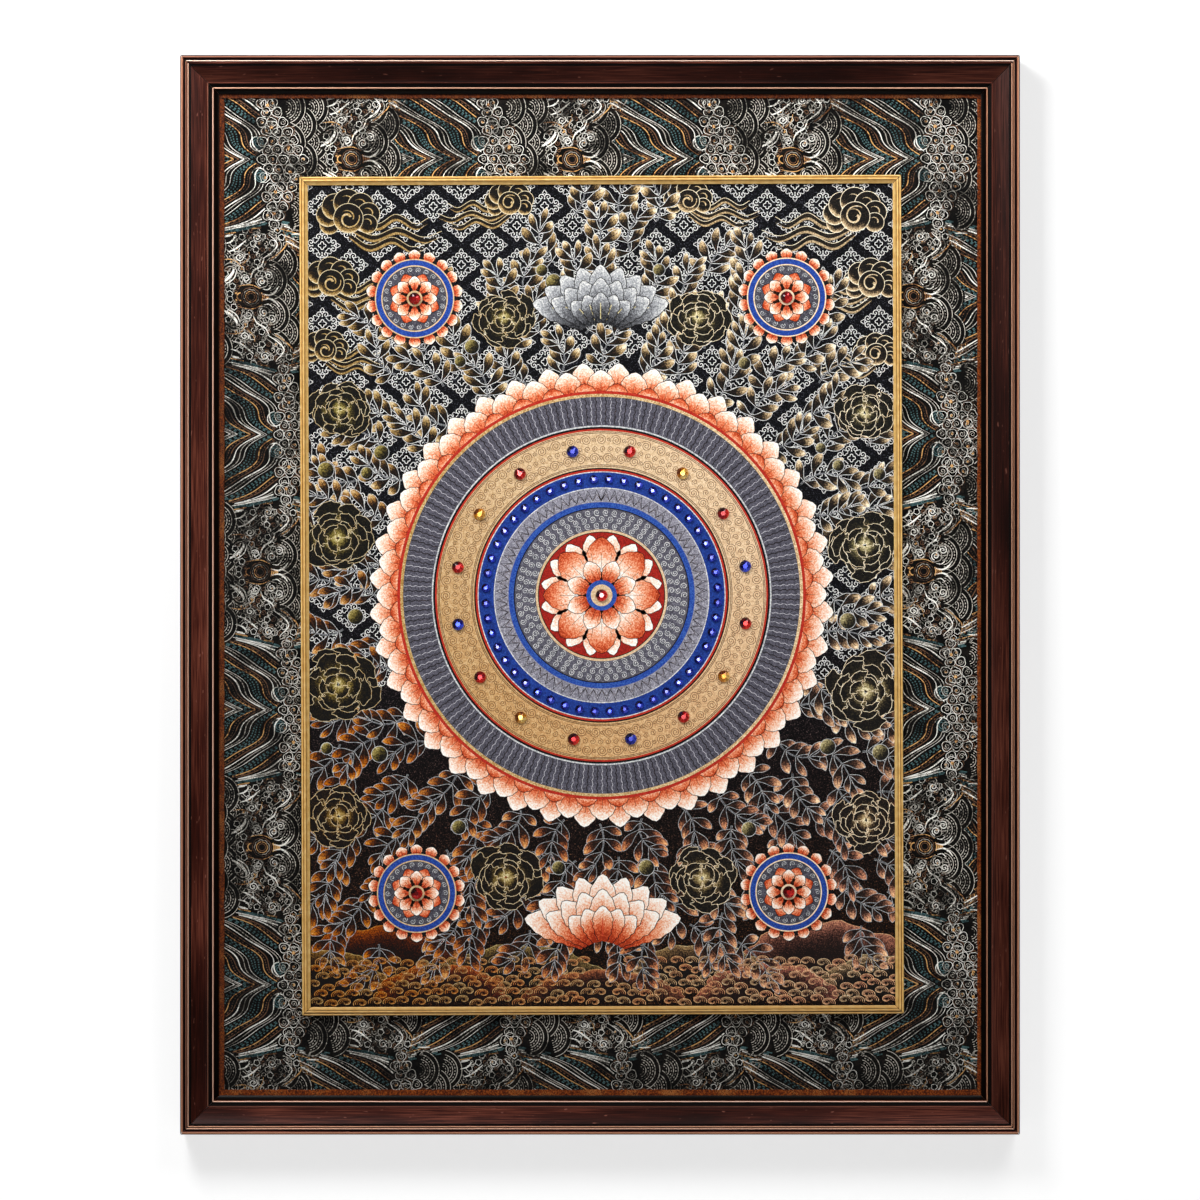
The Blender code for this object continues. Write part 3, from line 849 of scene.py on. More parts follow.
def painted_ground():
    """Charcoal distemper on primed cotton, matt, with pale primer grains of 0.8 mm that show through. The
    real grains are half as wide. From the middle down it is washed over with umber."""
    material, tree = surface("charcoal_distemper", Roughness=0.9, Specular_IOR_Level=0.1)
    place = node(tree, "TexCoord", out="Object")
    tooth = node(tree, "TexNoise", {"Vector": place, "Scale": 1250.0, "Detail": 2.0})
    stops = [(0.48, "#050507"), (0.58, "#0d0d11"), (0.65, "#24242b"), (0.75, "#5e5e66")]
    charcoal = node(tree, "ValToRGB", {"Fac": tooth}, stops)
    stops = [(0.46, "#070403"), (0.56, "#130b08"), (0.64, "#321d12"), (0.74, "#724624")]
    umber = node(tree, "ValToRGB", {"Fac": tooth}, stops)
    height = node(tree, "SeparateXYZ", {"Vector": place}, out="Z")
    span = {"From Min": MIDDLE_Z, "From Max": MIDDLE_Z - 230 * MM}
    wash = node(tree, "MapRange", {"Value": height, **span})
    node(tree, "MixRGB", {"Fac": wash, "Color1": charcoal, "Color2": umber}, feeds="Base Color")
    node(tree, "Bump", {"Height": tooth, "Strength": 0.5, "Distance": 0.2 * MM}, feeds="Normal")
    return material


half_u, half_v = [size / 2 - GRID_INSET for size in PICTURE_CLOTH]
v, u = np.meshgrid(np.linspace(half_v, -half_v, 50), np.linspace(-half_u, half_u, 36), indexing="ij")
painted = slab("painted_cloth", in_picture(u, v, 0), in_picture(u, v, -CLOTH_THICKNESS), painted_ground())
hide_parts("picture_cloth")

# --------------------------------------------------------------------------- painted design
# Mineral colours are painted over one another on the charcoal ground: a diaper of silver florets and the
# hills at the foot lowest, then clouds and sprays of leaves, then the flowers and the round mandala. The
# layers are 0.01 mm apart here, and the topmost stays under the stones. Lengths are in millimetres.

MANDALA_REACH = 158.0  # to the tips of its outer petals
PETAL_LINE = 0.42
PICTURE_HALF = (200.6, 281.4)  # the paint runs on under the fillet as far as this
ROUNDELS = [(-127, 203), (127, 203), (-127, -203), (127, -203)]
paints = {paint: [] for paint in ("silver", "leaf", "gold", "tan", "lotus", "blue", "red", "slate", "black")}


def spread_over(value, shape):
    """One number, one a grid, one a row of a grid or one a point, as one a point."""
    value = np.asarray(value, float)
    if value.ndim:
        value = value.reshape(value.shape + (1,) * (3 - value.ndim))
    return np.broadcast_to(value, shape)


def lay_grids(paint, u, v, layer, tone=0.0, warm=0.0):
    """Adds n grids of paint. U and v are n x rows x columns, layer is the height in steps of 0.01 mm, and
    tone and warm say which mix of the pigment is used."""
    layer, tone, warm = [spread_over(value, u.shape) for value in (layer, tone, warm)]
    u, v = [np.clip(x, -half, half) for x, half in zip((u, v), PICTURE_HALF)]
    points = np.stack([u, v, layer, tone, warm], axis=3).reshape(-1, 5)
    paints[paint].append((points, grid_faces(u.shape).reshape(-1, 4)))


def stroke(paint, paths, width, layer, tone=0.5, warm=0.0):
    """Brush lines along n x p x 2 paths, with a width that may change along them."""
    half = np.broadcast_to(np.asarray(width) / 2, paths.shape[:2])[..., None]
    left = leftward(paths, 1e-9)
    u, v = [paths[:, :, i, None] + left[:, :, i, None] * half * np.array([-1.0, 1.0]) for i in (0, 1)]
    lay_grids(paint, u, v, layer, tone, warm)


def circle(radius, centre=(0, 0), steps=240):
    """A closed circular path, clockwise from the top."""
    turn = np.linspace(0, 2 * math.pi, steps + 1)
    return np.stack([centre[0] + radius * np.sin(turn), centre[1] + radius * np.cos(turn)], axis=1)[None]


def polar_band(paint, inner, outer, layer, tone=0.5, warm=0.0, steps=240, centre=(0, 0)):
    """A ring of paint between two radii."""
    rings = np.stack([circle(radius, centre, steps)[0] for radius in (inner, outer)])
    lay_grids(paint, rings[None, :, :, 0], rings[None, :, :, 1], layer, tone, warm)


def blades(roots, headings, lengths, widths, bends, outline, rows, columns):
    """Leaves or petals. A midrib sets out from each root, and its heading turns evenly by bend; across it the
    blade is as wide as the outline gives for that share of its length. Gives u, v, and shares along and
    across."""
    share, across = np.linspace(0, 1, rows), np.linspace(-1, 1, columns)
    headings, lengths, widths, bends = [
        np.broadcast_to(np.asarray(x, float), len(roots))[:, None] for x in (headings, lengths, widths, bends)
    ]
    angle = headings + bends * (share - 0.5)
    step = lengths / (rows - 1)
    cos, sin = np.cos(angle), np.sin(angle)
    mid_u = roots[:, 0, None] + (np.cumsum(cos, axis=1) - cos[:, :1]) * step
    mid_v = roots[:, 1, None] + (np.cumsum(sin, axis=1) - sin[:, :1]) * step
    half = (widths / 2 * outline(share))[:, :, None] * across
    u = mid_u[:, :, None] - sin[:, :, None] * half
    v = mid_v[:, :, None] + cos[:, :, None] * half
    return u, v, share[None, :, None], across


def edges_of(u, v):
    """The path round each blade: up its one edge and back down the other."""
    return np.stack([np.concatenate([x[:, :, 0], x[:, ::-1, -1]], axis=1) for x in (u, v)], axis=2)


def around(count, radius, phase=0.0, centre=(0, 0)):
    """Places on a circle, and the heading outward at each. The first is at the top, and phase moves them on
    by a share of their spacing."""
    turn = 2 * math.pi * (np.arange(count) + phase) / count
    places = np.stack([centre[0] + radius * np.sin(turn), centre[1] + radius * np.cos(turn)], axis=1)
    return places, math.pi / 2 - turn


def lotus_outline(share):
    """A petal that swells from a narrow foot and closes in a small point, with five soft scallops on each
    edge: the sine of share to the power 0.8, and a tip that narrows as the square root of what is left."""
    swell = (0.42 + 0.58 * np.sin(math.pi * share**0.8 * 0.75)) * np.minimum(1, np.sqrt((1 - share) * 3.2))
    return swell * (1 + 0.06 * np.cos(2 * math.pi * 5 * share))


def leaf_outline(share):
    """A spoon-shaped leaf with a narrow foot: a smooth step from narrow to wide at 0.3 of its length, closed
    by a root near the round end."""
    swell = 1 / (1 + np.exp(-(share - 0.3) * 8))
    return (0.06 + 0.98 * swell) * np.sqrt(np.minimum(1, (1 - share) * 2.6))


def petal_ring(count, radius, length, width, layer, phase=0.0, centre=(0, 0), flip=False):
    """A ring of lotus petals that point outward, orange at the foot and white at the tip, or the other way
    round with flip. Each has a dark outline and brown veins."""
    places, headings = around(count, radius, phase, centre)
    u, v, share, aside = blades(places, headings, length, width, 0.0, lotus_outline, 20, 7)
    tone = np.clip(1.05 * share**1.15 - 0.28 * (1 - np.abs(aside)) * (1 - share), 0, 1)
    lay_grids("lotus", u, v, layer, 1 - tone * 0.9 if flip else tone)
    stroke("black", edges_of(u, v), PETAL_LINE, layer + 0.6, 0.25)
    veins = np.stack([u, v], axis=3)[:, 2:-7, 1:-1:2].transpose(0, 2, 1, 3)
    stroke("black", veins.reshape(-1, veins.shape[2], 2), PETAL_LINE * 0.55, layer + 0.5, 0.5)


# silver diaper from the top to a little below the mandala's middle: in each lozenge a quatrefoil, four cloud
# heads of two curls that face one another, and a small trefoil between the heads, with bare diagonal bands
# between the lozenges
DIAPER_PITCH = (19.0, 13.3)
down, along = np.meshgrid(np.arange(-24, 25), np.arange(-12, 13), indexing="ij")
centres = np.stack([DIAPER_PITCH[0] * (2 * along + down % 2), DIAPER_PITCH[1] * down], axis=2).reshape(-1, 2)
u, v = centres.T
centres = centres[(np.abs(u) < 210) & (v < 288) & (v > -70) & (np.hypot(u, v) > MANDALA_REACH - 8)]
spin = np.zeros(len(centres))
stroke("silver", lobes(centres, 1.5, 1.2, 4, spin + math.pi / 4, 25), 0.5, 1, 1.0)
for quarter in range(4):
    turn = math.pi / 2 * quarter
    reach = 6.0 if quarter % 2 else 7.6
    head, beside = np.array([(math.cos(turn), math.sin(turn)), (-math.sin(turn), math.cos(turn))])
    for side in (1, -1):
        curl = curls(centres + reach * head + side * 2.3 * beside, 0.3, 2.5, -1.35 * side, spin + turn, 17)
        stroke("silver", curl, 0.48, 1, 1.0)
    bud = lobes(centres + (reach + 3.2) * head, 0.9, 0.7, 3, spin + math.pi / 3 - turn, 13)
    stroke("silver", bud, 0.42, 1, 0.9)
    turn += math.pi / 4
    between = centres + [6.4 * math.cos(turn), 5.4 * math.sin(turn)]
    stroke("silver", lobes(between, 1.2, 0.9, 3, spin + math.pi / 3 - turn, 16), 0.42, 1, 0.9)


def hills(middles, half_widths, heights, layer, warm):
    """Rounded hills: half-ellipses, dark within and bright toward the crest, with a pale line along it."""
    turn = np.linspace(0, math.pi, 41)
    radius = np.linspace(0.0, 1, 9)[:, None]
    u, v = middles.T[:, :, None]
    craggy = 1 + 0.035 * np.sin(turn * 9 + u) + 0.02 * np.sin(turn * 23 + v)
    u = u[:, None] + half_widths[:, None, None] * radius * (np.cos(turn) * craggy)[:, None, :]
    v = v[:, None] + heights[:, None, None] * radius * (np.sin(turn) * craggy)[:, None, :]
    tone = -0.1 + 0.64 * np.clip(radius * 1.9 - 0.9, 0, 1) ** 1.6 * (0.6 + 0.4 * np.sin(turn))
    height = layer + 0.3 * np.arange(len(middles))[:, None, None]
    lay_grids("gold", u, v, height, tone[None], warm[:, None, None])
    crest = np.stack([u[:, -1], v[:, -1]], axis=2)
    stroke("gold", crest, 0.35, height[:, :, 0] + 0.1, 0.75, warm[:, None])


HILLS = np.array([
    # middle u, foot v, half width, height, warm
    (-150, -262, 64, 36, 0.9), (152, -264, 66, 40, 0.85), (-58, -266, 60, 27, 0.15), (66, -268, 56, 29, 0.25),
    (-190, -272, 44, 30, 0.3), (192, -274, 46, 28, 0.2), (-110, -276, 46, 24, 1.0), (112, -277, 48, 25, 1.0),
    (0, -276, 54, 20, 0.8),
], float)
hills(HILLS[:, :2], HILLS[:, 2], HILLS[:, 3], 1.5, HILLS[:, 4])


LEAF_PAIRS = 4


def spray(roots, headings, lengths, curl, layer, warm):
    """Sprays of leaves: pairs along a curling stem, that grow and shrink again, and one at its tip. A leaf is
    dark at its foot and gold or orange toward its round end, with a fine pale edge and a brown rib."""
    stem_u, stem_v, _, _ = blades(roots, headings, lengths, 0.0, curl, leaf_outline, 20, 2)
    stems = np.stack([stem_u[:, :, 0], stem_v[:, :, 0]], axis=2)
    stroke("silver", stems, 1.3 - 0.7 * np.linspace(0, 1, 20), layer, 0.55, warm)
    stroke("black", stems, 0.6 - 0.5 * np.linspace(0, 1, 20), layer + 0.02, 0.2, warm)
    leaves = []
    for j in range(LEAF_PAIRS):
        share = 0.12 + 0.74 * j / (LEAF_PAIRS - 1)
        at = stems[:, int(share * 19)]
        heading = headings + curl * (share - 0.5)
        size = 12.0 + 4.6 * math.sin(math.pi * share**0.8)
        leaves += [(at, heading + side * (1.05 - 0.55 * share), size, -side * 0.7) for side in (1, -1)]
    leaves.append((stems[:, -2], headings + curl / 2, 13.5, 0.0))
    count = len(leaves)
    places, points = [np.concatenate([leaf[i] for leaf in leaves]) for i in (0, 1)]
    sizes, tips = [np.repeat([leaf[i] for leaf in leaves], len(roots)) for i in (2, 3)]
    stray = dice.uniform(-1, 1, (4, len(places)))
    lengths, widths = sizes * (1 + 0.16 * stray[1]), sizes * (0.42 + 0.05 * stray[2])
    u, v, share, aside = blades(places, points + 0.2 * stray[0], lengths, widths, tips, leaf_outline, 10, 5)
    order = (np.repeat(np.arange(count), len(roots)) * 0.12)[:, None, None]
    base = np.tile(layer, count)[:, None, None] + order
    heat = np.tile(warm, count)[:, None, None]
    bright = np.clip((share - 0.42) * 2.3, 0, 1) * (1 - 0.4 * aside**2)
    lay_grids("leaf", u, v, base, bright * (0.9 - 0.2 * heat + 0.16 * stray[3][:, None, None]), heat)
    stroke("silver", edges_of(u, v), 0.36, base[:, :, 0] + 0.08, 0.88 - 0.25 * heat[:, :, 0])
    ribs = np.stack([u[:, 1:-2, 2], v[:, 1:-2, 2]], axis=2)
    stroke("black", ribs, 0.4, base[:, :, 0] + 0.05, 0.45)


# leaf sprays stand in rings round the mandala and point away from it
dice = np.random.default_rng(21)
for row in range(7):
    radius = MANDALA_REACH - 4 + 26 * row
    count = round(2 * math.pi * radius / 27)
    roots, headings = around(count, radius, 0.5 * (row % 2) + 0.1 * row)
    roots = roots + dice.uniform(-3, 3, roots.shape)
    lengths = dice.uniform(26, 35, count)
    curl = dice.uniform(0.6, 1.7, count) * np.where(np.arange(count) % 2, 1, -1)
    headings = headings + dice.uniform(-0.4, 0.4, count)
    u, v = roots.T
    kept = (np.abs(u) < 199) & (v < 279) & (v > -238)
    # none begins near a roundel's middle
    for place in ROUNDELS:
        kept &= np.hypot(u - place[0], v - place[1]) > 24
    # no spray stands in the top corners or beside the mandala's shoulders, so the diaper shows there
    kept &= ~((v > 218) & (np.abs(u) > 44)) & ~((v > 104) & (np.abs(u) > 156))
    warm = np.clip((60 - v - 0.3 * u) / 190, 0, 1) * dice.uniform(0.7, 1.0, count)
    layer = 4 + (6 - row) * 1.7 + 0.8 * (np.arange(count) % 2)
    for half in (warm > 0.45, warm <= 0.45):
        chosen = kept & half
        if chosen.any():
            spray(roots[chosen], headings[chosen], lengths[chosen], curl[chosen], layer[chosen], warm[chosen])


PEONY_LAYER = 17.0
FRUIT_LAYER = 19.0
CLOUD_LAYER = 3.0
CLOUD_FACING = -1.9  # the heading of the side on which a cloud's lobes are bright


def ruffled_outline(share):
    """A broad petal with a frilled edge: it swells fast from its foot and ends in scallops."""
    swell = (0.3 + 0.7 * np.sin(math.pi * share**0.6 * 0.62)) * np.sqrt(np.minimum(1, (1.0001 - share) * 5))
    return swell * (1 + 0.2 * np.cos(19 * share))


def peony(place, size, warm):
    """A peony seen from the front: rings of ruffled petals over one another, no two alike, black toward the
    edge and glowing olive and yellow at the foot, each with a fine pale outline."""
    rings = ((9, 0.46, 0.56, 0.62), (8, 0.3, 0.5, 0.55), (6, 0.16, 0.4, 0.46), (4, 0.04, 0.3, 0.36))
    for ring, (count, reach, length, width) in enumerate(rings):
        turn = 2 * math.pi * (np.arange(count) + 0.5 * ring) / count + dice.uniform(-0.22, 0.22, count)
        squash = np.stack([np.cos(turn), np.sin(turn) * 0.82 - 0.12 * ring], axis=1)
        roots = np.array(place) + size * reach * squash
        sizes = size * dice.uniform(0.8, 1.2, count)
        bends = dice.uniform(-1.0, 1.0, count)
        u, v, share, aside = blades(roots, turn, sizes * length, sizes * width, bends, ruffled_outline, 14, 7)
        height = PEONY_LAYER + ring * 1.3 + 0.1 * np.arange(count)[:, None, None]
        glow = np.clip(0.74 - 1.3 * share + 0.1 * ring, 0, 1) * (1 - 0.35 * np.abs(aside))
        lay_grids("gold", u, v, height, glow, warm)
        stroke("leaf", edges_of(u, v), 0.34, height[:, :, 0] + 0.05, 0.9, warm)


for place, size, warm in (
    ((-180, 40), 25, 0.0), ((180, 34), 25, 0.0), ((-180, -60), 27, 0.05), ((180, -66), 27, 0.05),
    ((-66, 190), 21, 0.0), ((66, 190), 21, 0.0), ((-178, 128), 21, 0.0), ((180, 124), 21, 0.0),
    ((-66, -192), 24, 0.1), ((68, -193), 24, 0.1), ((-180, -150), 22, 0.2), ((180, -154), 22, 0.2),
):
    peony(place, size, warm)
fruit_places = np.array([
    (-160, 84), (162, 88), (-150, 98), (150, 100), (-188, 86), (190, 82), (-96, 160), (98, 158), (-88, 170),
    (40, 222), (-40, 222), (-32, 214), (-168, -14), (168, -18), (-188, -104), (190, -108), (-152, -108),
    (154, -104), (-98, -158), (100, -160), (30, -186), (-30, -186),
], float)
# round fruits: olive, lit from the upper left and dark below, with a silver edge
u, v = fruit_places.T[:, :, None, None]
size = dice.uniform(3.6, 5.8, len(fruit_places))[:, None, None] * np.linspace(0.02, 1, 5)[:, None]
turn = np.linspace(0, 2 * math.pi, 21)
u, v = u + size * np.sin(turn), v + size * np.cos(turn)
lit = 0.36 - 0.5 * np.linspace(0.02, 1, 5)[:, None] * np.sin(turn - 2.3 + math.pi / 2)
lay_grids("gold", u, v, FRUIT_LAYER, np.clip(lit, 0.04, 0.8)[None] * 0.9)
stroke("silver", np.stack([u[:, -1], v[:, -1]], axis=2), 0.4, FRUIT_LAYER + 0.4, 0.75)


def clouds(places, radii, layer):
    """Rolling clouds: overlapping lobes, each dark with a crescent of gold on one side, a cream line at its
    edge, and a hook within."""
    turn = np.linspace(0, 2 * math.pi, 25)
    radius = np.linspace(0.02, 1, 6)[:, None]
    size = radii[:, None, None] * radius
    u, v = places.T[:, :, None, None]
    u, v = u + size * np.cos(turn), v + size * np.sin(turn)
    glow = np.clip(np.cos(turn - CLOUD_FACING) * 1.5 - 0.1, 0, 1) * np.clip(radius * 2.0 - 1.0, 0, 1) * 0.85
    height = layer + 0.12 * np.arange(len(places))[:, None, None]
    lay_grids("leaf", u, v, height, glow[None])
    stroke("leaf", np.stack([u[:, -1], v[:, -1]], axis=2), 0.38, height[:, :, 0] + 0.05, 0.95)
    hook = curls(places, 0.5, 0.95, 0.42, np.full(len(places), CLOUD_FACING + 1.6), 14) - places[:, None]
    taper = 0.9 * np.sin(math.pi * np.linspace(0, 1, 14) ** 0.6)
    stroke("leaf", places[:, None] + hook * radii[:, None, None] * 0.62, taper, height[:, :, 0] + 0.06, 0.7)


def scrolled_cloud(place, size, side):
    """A cloud with seven lobes over a larger one that holds a swirl, and three tails that wave off to one
    side."""
    place, layer = np.array(place), CLOUD_LAYER
    turn = np.radians([205, 168, 130, 92, 54, 16, -22])
    ring = place + size * np.stack([1.1 * np.cos(turn), 0.8 * np.sin(turn)], axis=1)
    tails = np.concatenate([
        brushed([(0, -0.5), (1.3, -1.1), (2.6, -0.7), (3.9, -1.2), (4.9, -0.9)], 30),
        brushed([(0, -0.9), (1.1, -1.6), (2.3, -1.2), (3.3, -1.7), (4.2, -1.5)], 30),
        brushed([(0.2, -0.1), (1.5, -0.5), (2.5, 0.0), (3.5, -0.5), (4.2, -0.2)], 30),
    ])
    tails = place + size * tails * [side, 1]
    swell = np.sin(math.pi * np.linspace(0.02, 1, 30) ** 0.7)
    stroke("leaf", tails, 0.42 * size * swell, layer - 0.4, 0.08)
    stroke("leaf", tails + [0, -0.1 * size], 0.13 * size * swell, layer - 0.3, 0.6)
    stroke("leaf", tails + [0, 0.2 * size], 0.36, layer - 0.3, 0.92)
    clouds(ring, size * np.array([0.5, 0.6, 0.68, 0.74, 0.68, 0.6, 0.5]), layer)
    clouds(place[None], np.array([0.78 * size]), layer + 1.2)
    swirl = curls(place[None], 0.12, 0.6, 0.95 * side, [0.6], 34) - place
    stroke("leaf", place + swirl * size, 0.14 * size * np.linspace(1.0, 0.3, 34), layer + 1.5, 0.75)


for place, size, side in (
    ((-172, 258), 13.0, 1), ((-184, 214), 11.5, 1), ((174, 258), 13.0, -1), ((185, 212), 11.5, -1),
    ((-62, 268), 10.0, -1), ((60, 269), 10.0, 1), ((-188, 168), 9.5, 1), ((188, 164), 9.5, -1),
):
    scrolled_cloud(place, size, side)

# water at the foot, in small curled waves between the hills
dice = np.random.default_rng(4)
for row, height in enumerate(np.arange(-277, -246, 5.4)):
    crests = np.stack([np.arange(-196 + 5 * (row % 2), 200, 10.0), np.full(40, height)], axis=1)
    crests = crests + dice.uniform(-1.6, 1.6, crests.shape)
    crests = crests[(np.abs(crests[:, 0]) > 12) | (crests[:, 1] < -262)]
    turned = np.where(crests[:, 0] < 0, 1, -1)
    warmth = dice.uniform(0.1, 0.9, len(crests))
    for reach in (4.6, 3.4, 2.2):
        wave = curls(np.zeros((len(crests), 2)), 0.5, reach, 1.15, np.full(len(crests), 2.6), 20)
        wave = wave * [1.25, 0.8] * np.stack([turned, 1 + 0 * turned], axis=1)[:, None]
        stroke("leaf", crests[:, None] + wave, 0.42, 9.0 + 0.2 * row, 0.12 + 0.13 * reach, warmth)

# a palmette of lotus petals above the mandala, in silver, and one below it in orange and white
PALMETTE_RINGS = ((9, 1.15, 40, 17), (7, 0.95, 31, 15), (5, 0.7, 21, 12))  # count, spread, length, width
for middle, paint, rib_paint, size in (((0, 186), "silver", "gold", 1.0), ((0, -236), "lotus", "red", 1.15)):
    for ring, (count, spread, length, width) in enumerate(PALMETTE_RINGS):
        order = np.argsort(-np.abs(np.linspace(-1, 1, count)))
        lean = np.linspace(-1, 1, count)[order] * spread
        roots = np.array(middle) + np.stack([lean * 9, -2 * np.abs(lean)], axis=1) * size
        sizes = (length * size, width * size)
        u, v, share, aside = blades(roots, math.pi / 2 - lean, *sizes, -0.5 * lean, lotus_outline, 24, 7)
        height = 20.0 + ring * 1.5 + 0.14 * np.arange(count)[:, None, None]
        tone = np.clip(1.15 * share**1.3 - 0.15 * (1 - np.abs(aside)), 0, 1)
        lay_grids(paint, u, v, height, 0.05 + 0.8 * tone if paint == "silver" else tone)
        stroke("black", edges_of(u, v), 0.5, height[:, :, 0] + 0.05, 0.2)
        ribs = np.stack([u[:, 3:-8, 3], v[:, 3:-8, 3]], axis=2)
        stroke(rib_paint, ribs, 0.6, height[:, :, 0] + 0.06, 0.8)

# the mandala, from its rim to its middle
polar_band("black", 0.1, MANDALA_REACH - 21, 17.0, 0.2)
petal_ring(40, 132, 27, 17, 18.0, phase=0.5)
petal_ring(40, 132, 22, 17.5, 19.4)
petal_ring(40, 131, 14, 14, 20.2, phase=0.5, flip=True)
polar_band("red", 137.5, 139.5, 21.6, 0.5)
polar_band("gold", 135.5, 137.5, 21.6, 0.8, 0.4)
polar_band("slate", 116, 135.5, 21.3, 0.3)
ray = np.linspace(116.6, 135.2, 14)
turn = 2 * math.pi * np.arange(240) / 240
wavy = turn[:, None] + 0.0035 * np.sin(ray * 1.3)
rays = np.stack([ray * np.sin(wavy), ray * np.cos(wavy)], axis=2)
stroke("black", rays, 0.6, 21.7, 0.3)
stroke("slate", rays[::2], 0.4, 21.9, 0.95)
polar_band("silver", 115, 116, 21.8, 0.8)
polar_band("black", 113.6, 115, 21.8, 0.1)
polar_band("red", 112.4, 113.6, 21.9, 0.5)
# the band is a paler tan above and more orange below
turn = 2 * math.pi * np.arange(241) / 240
polar_band("tan", 87, 112.4, 21.4, 0.8, (0.5 - 0.5 * np.cos(turn))[None, None])
for radius in (88.0, 88.9, 110.6, 111.5):
    polar_band("black", radius, radius + 0.4, 21.8, 0.6)
for radius, phase, sign in ((106.2, 0.0, 1), (93.6, 0.5, -1)):
    places, headings = around(64, radius, phase)
    stroke("black", curls(places, 0.5, 3.7, 2.2 * sign, headings, 32), 0.38, 22.0, 0.8)
    places, headings = around(64, radius, phase + 0.5)
    stroke("black", curls(places, 0.3, 1.7, 1.4 * -sign, headings, 14), 0.38, 22.0, 0.75)
places, headings = around(120, 100.0, 0.25)
stroke("black", curls(places, 0.3, 2.2, 1.5, headings, 15), 0.38, 22.0, 0.8)
polar_band("black", 86, 87, 22.0, 0.1)
polar_band("red", 84.4, 86, 21.8, 0.5)
polar_band("blue", 73.4, 84.4, 21.7, 0.3)
for radius in (73.0, 84.0):
    polar_band("silver", radius, radius + 0.6, 22.0, 0.85)
polar_band("slate", 63.6, 73, 21.7, 0.7)
teeth = 72
turn = 2 * math.pi * np.arange(2 * teeth + 1) / (2 * teeth)
for inner, outer, width, tone in ((64.6, 71.9, 0.9, 0.15), (64.6, 69.1, 0.6, 0.5)):
    radius = np.where(np.arange(2 * teeth + 1) % 2, outer, inner)
    stroke("black", np.stack([radius * np.sin(turn), radius * np.cos(turn)], axis=1)[None], width, 22.0, tone)
polar_band("blue", 60, 63.6, 21.9, 0.5)
polar_band("black", 59.3, 60, 22.0, 0.1)
polar_band("slate", 45, 59.3, 21.6, 0.35)
for radius, count, sign in ((56.6, 58, 1), (52.2, 54, -1), (47.8, 48, 1)):
    places, headings = around(count, radius, 0.25 * (sign + 1))
    stroke("silver", curls(places, 0.3, 2.3, 1.6 * sign, headings, 20), 0.45, 22.0, 0.8)
polar_band("tan", 43.4, 45, 22.1, 0.8)
polar_band("black", 42.8, 43.4, 22.1, 0.2)
polar_band("red", 10, 42.8, 21.7, 0.3)
petal_ring(16, 12, 30, 14, 22.4, phase=0.5)
petal_ring(8, 9, 31, 20, 23.4, flip=True)
petal_ring(8, 6, 19, 12, 24.4, phase=0.5)
polar_band("blue", 7.4, 10.4, 25.4, 0.5, steps=60)
polar_band("tan", 0.05, 7.4, 25.6, 0.8, steps=60)

# roundels, each with a small lotus
for place in ROUNDELS:
    polar_band("black", 0.1, 30, 20.0, 0.15, steps=90, centre=place)
    petal_ring(18, 25.5, 8.0, 8.2, 20.2, centre=place)
    polar_band("blue", 22.5, 26.5, 21.2, 0.4, steps=90, centre=place)
    for radius in (22.3, 26.7):
        stroke("tan", circle(radius, place, 90), 0.8, 21.6, 0.9)
    polar_band("slate", 0.1, 22.3, 20.8, 0.2, steps=90, centre=place)
    spots, headings = around(22, 19.6, 0.5, place)
    stroke("silver", curls(spots, 0.2, 1.9, 1.4, headings, 14), 0.45, 21.0, 0.7)
    petal_ring(8, 4, 14, 9.5, 21.6, phase=0.5, centre=place, flip=True)
    petal_ring(8, 3, 12.5, 8.5, 22.8, centre=place)
    polar_band("tan", 0.05, 5.4, 24.4, 0.8, steps=48, centre=place)


def mineral_paint(name, cool, hot=None):
    """Matt mineral colour in gum. The tone attribute runs along the pigment's mixes, and grains of about 0.8
    mm break the paint up. Where there is a second set of mixes, the warm attribute crosses over to it, and
    the colour is painted paler and greyer toward the right, as painted glare."""
    material, tree = surface(name, Roughness=0.75, Specular_IOR_Level=0.12)
    place = node(tree, "TexCoord", out="Object")
    tooth = node(tree, "TexNoise", {"Vector": place, "Scale": 1250.0, "Detail": 2.0})
    tone = node(tree, "Attribute", out="Fac", attribute_name="tone")
    spread = {"From Min": 0.25, "From Max": 0.75, "To Min": -0.28, "To Max": 0.28}
    stray = node(tree, "MapRange", {"Value": tooth, **spread})
    worn = node(tree, "Math", {0: tone, 1: stray}, operation="ADD")
    colour = node(tree, "ValToRGB", {"Fac": worn}, cool, feeds="Base Color")
    if hot:
        warm = node(tree, "Attribute", out="Fac", attribute_name="warm")
        other = node(tree, "ValToRGB", {"Fac": worn}, hot)
        mixed = node(tree, "MixRGB", {"Fac": warm, "Color1": colour, "Color2": other})
        # painted glare: paler and less saturated toward the right
        right = node(tree, "SeparateXYZ", {"Vector": place}, out="X")
        span = {"Value": right, "From Min": -150 * MM, "From Max": 150 * MM}
        depth = node(tree, "MapRange", {**span, "To Min": 1.05, "To Max": 0.8})
        light = node(tree, "MapRange", {**span, "To Min": 0.76, "To Max": 1.1})
        painted_glare = {"Color": mixed, "Saturation": depth, "Value": light}
        node(tree, "HueSaturation", painted_glare, feeds="Base Color")
    node(tree, "Bump", {"Height": tooth, "Strength": 0.35, "Distance": 0.15 * MM}, feeds="Normal")
    return material


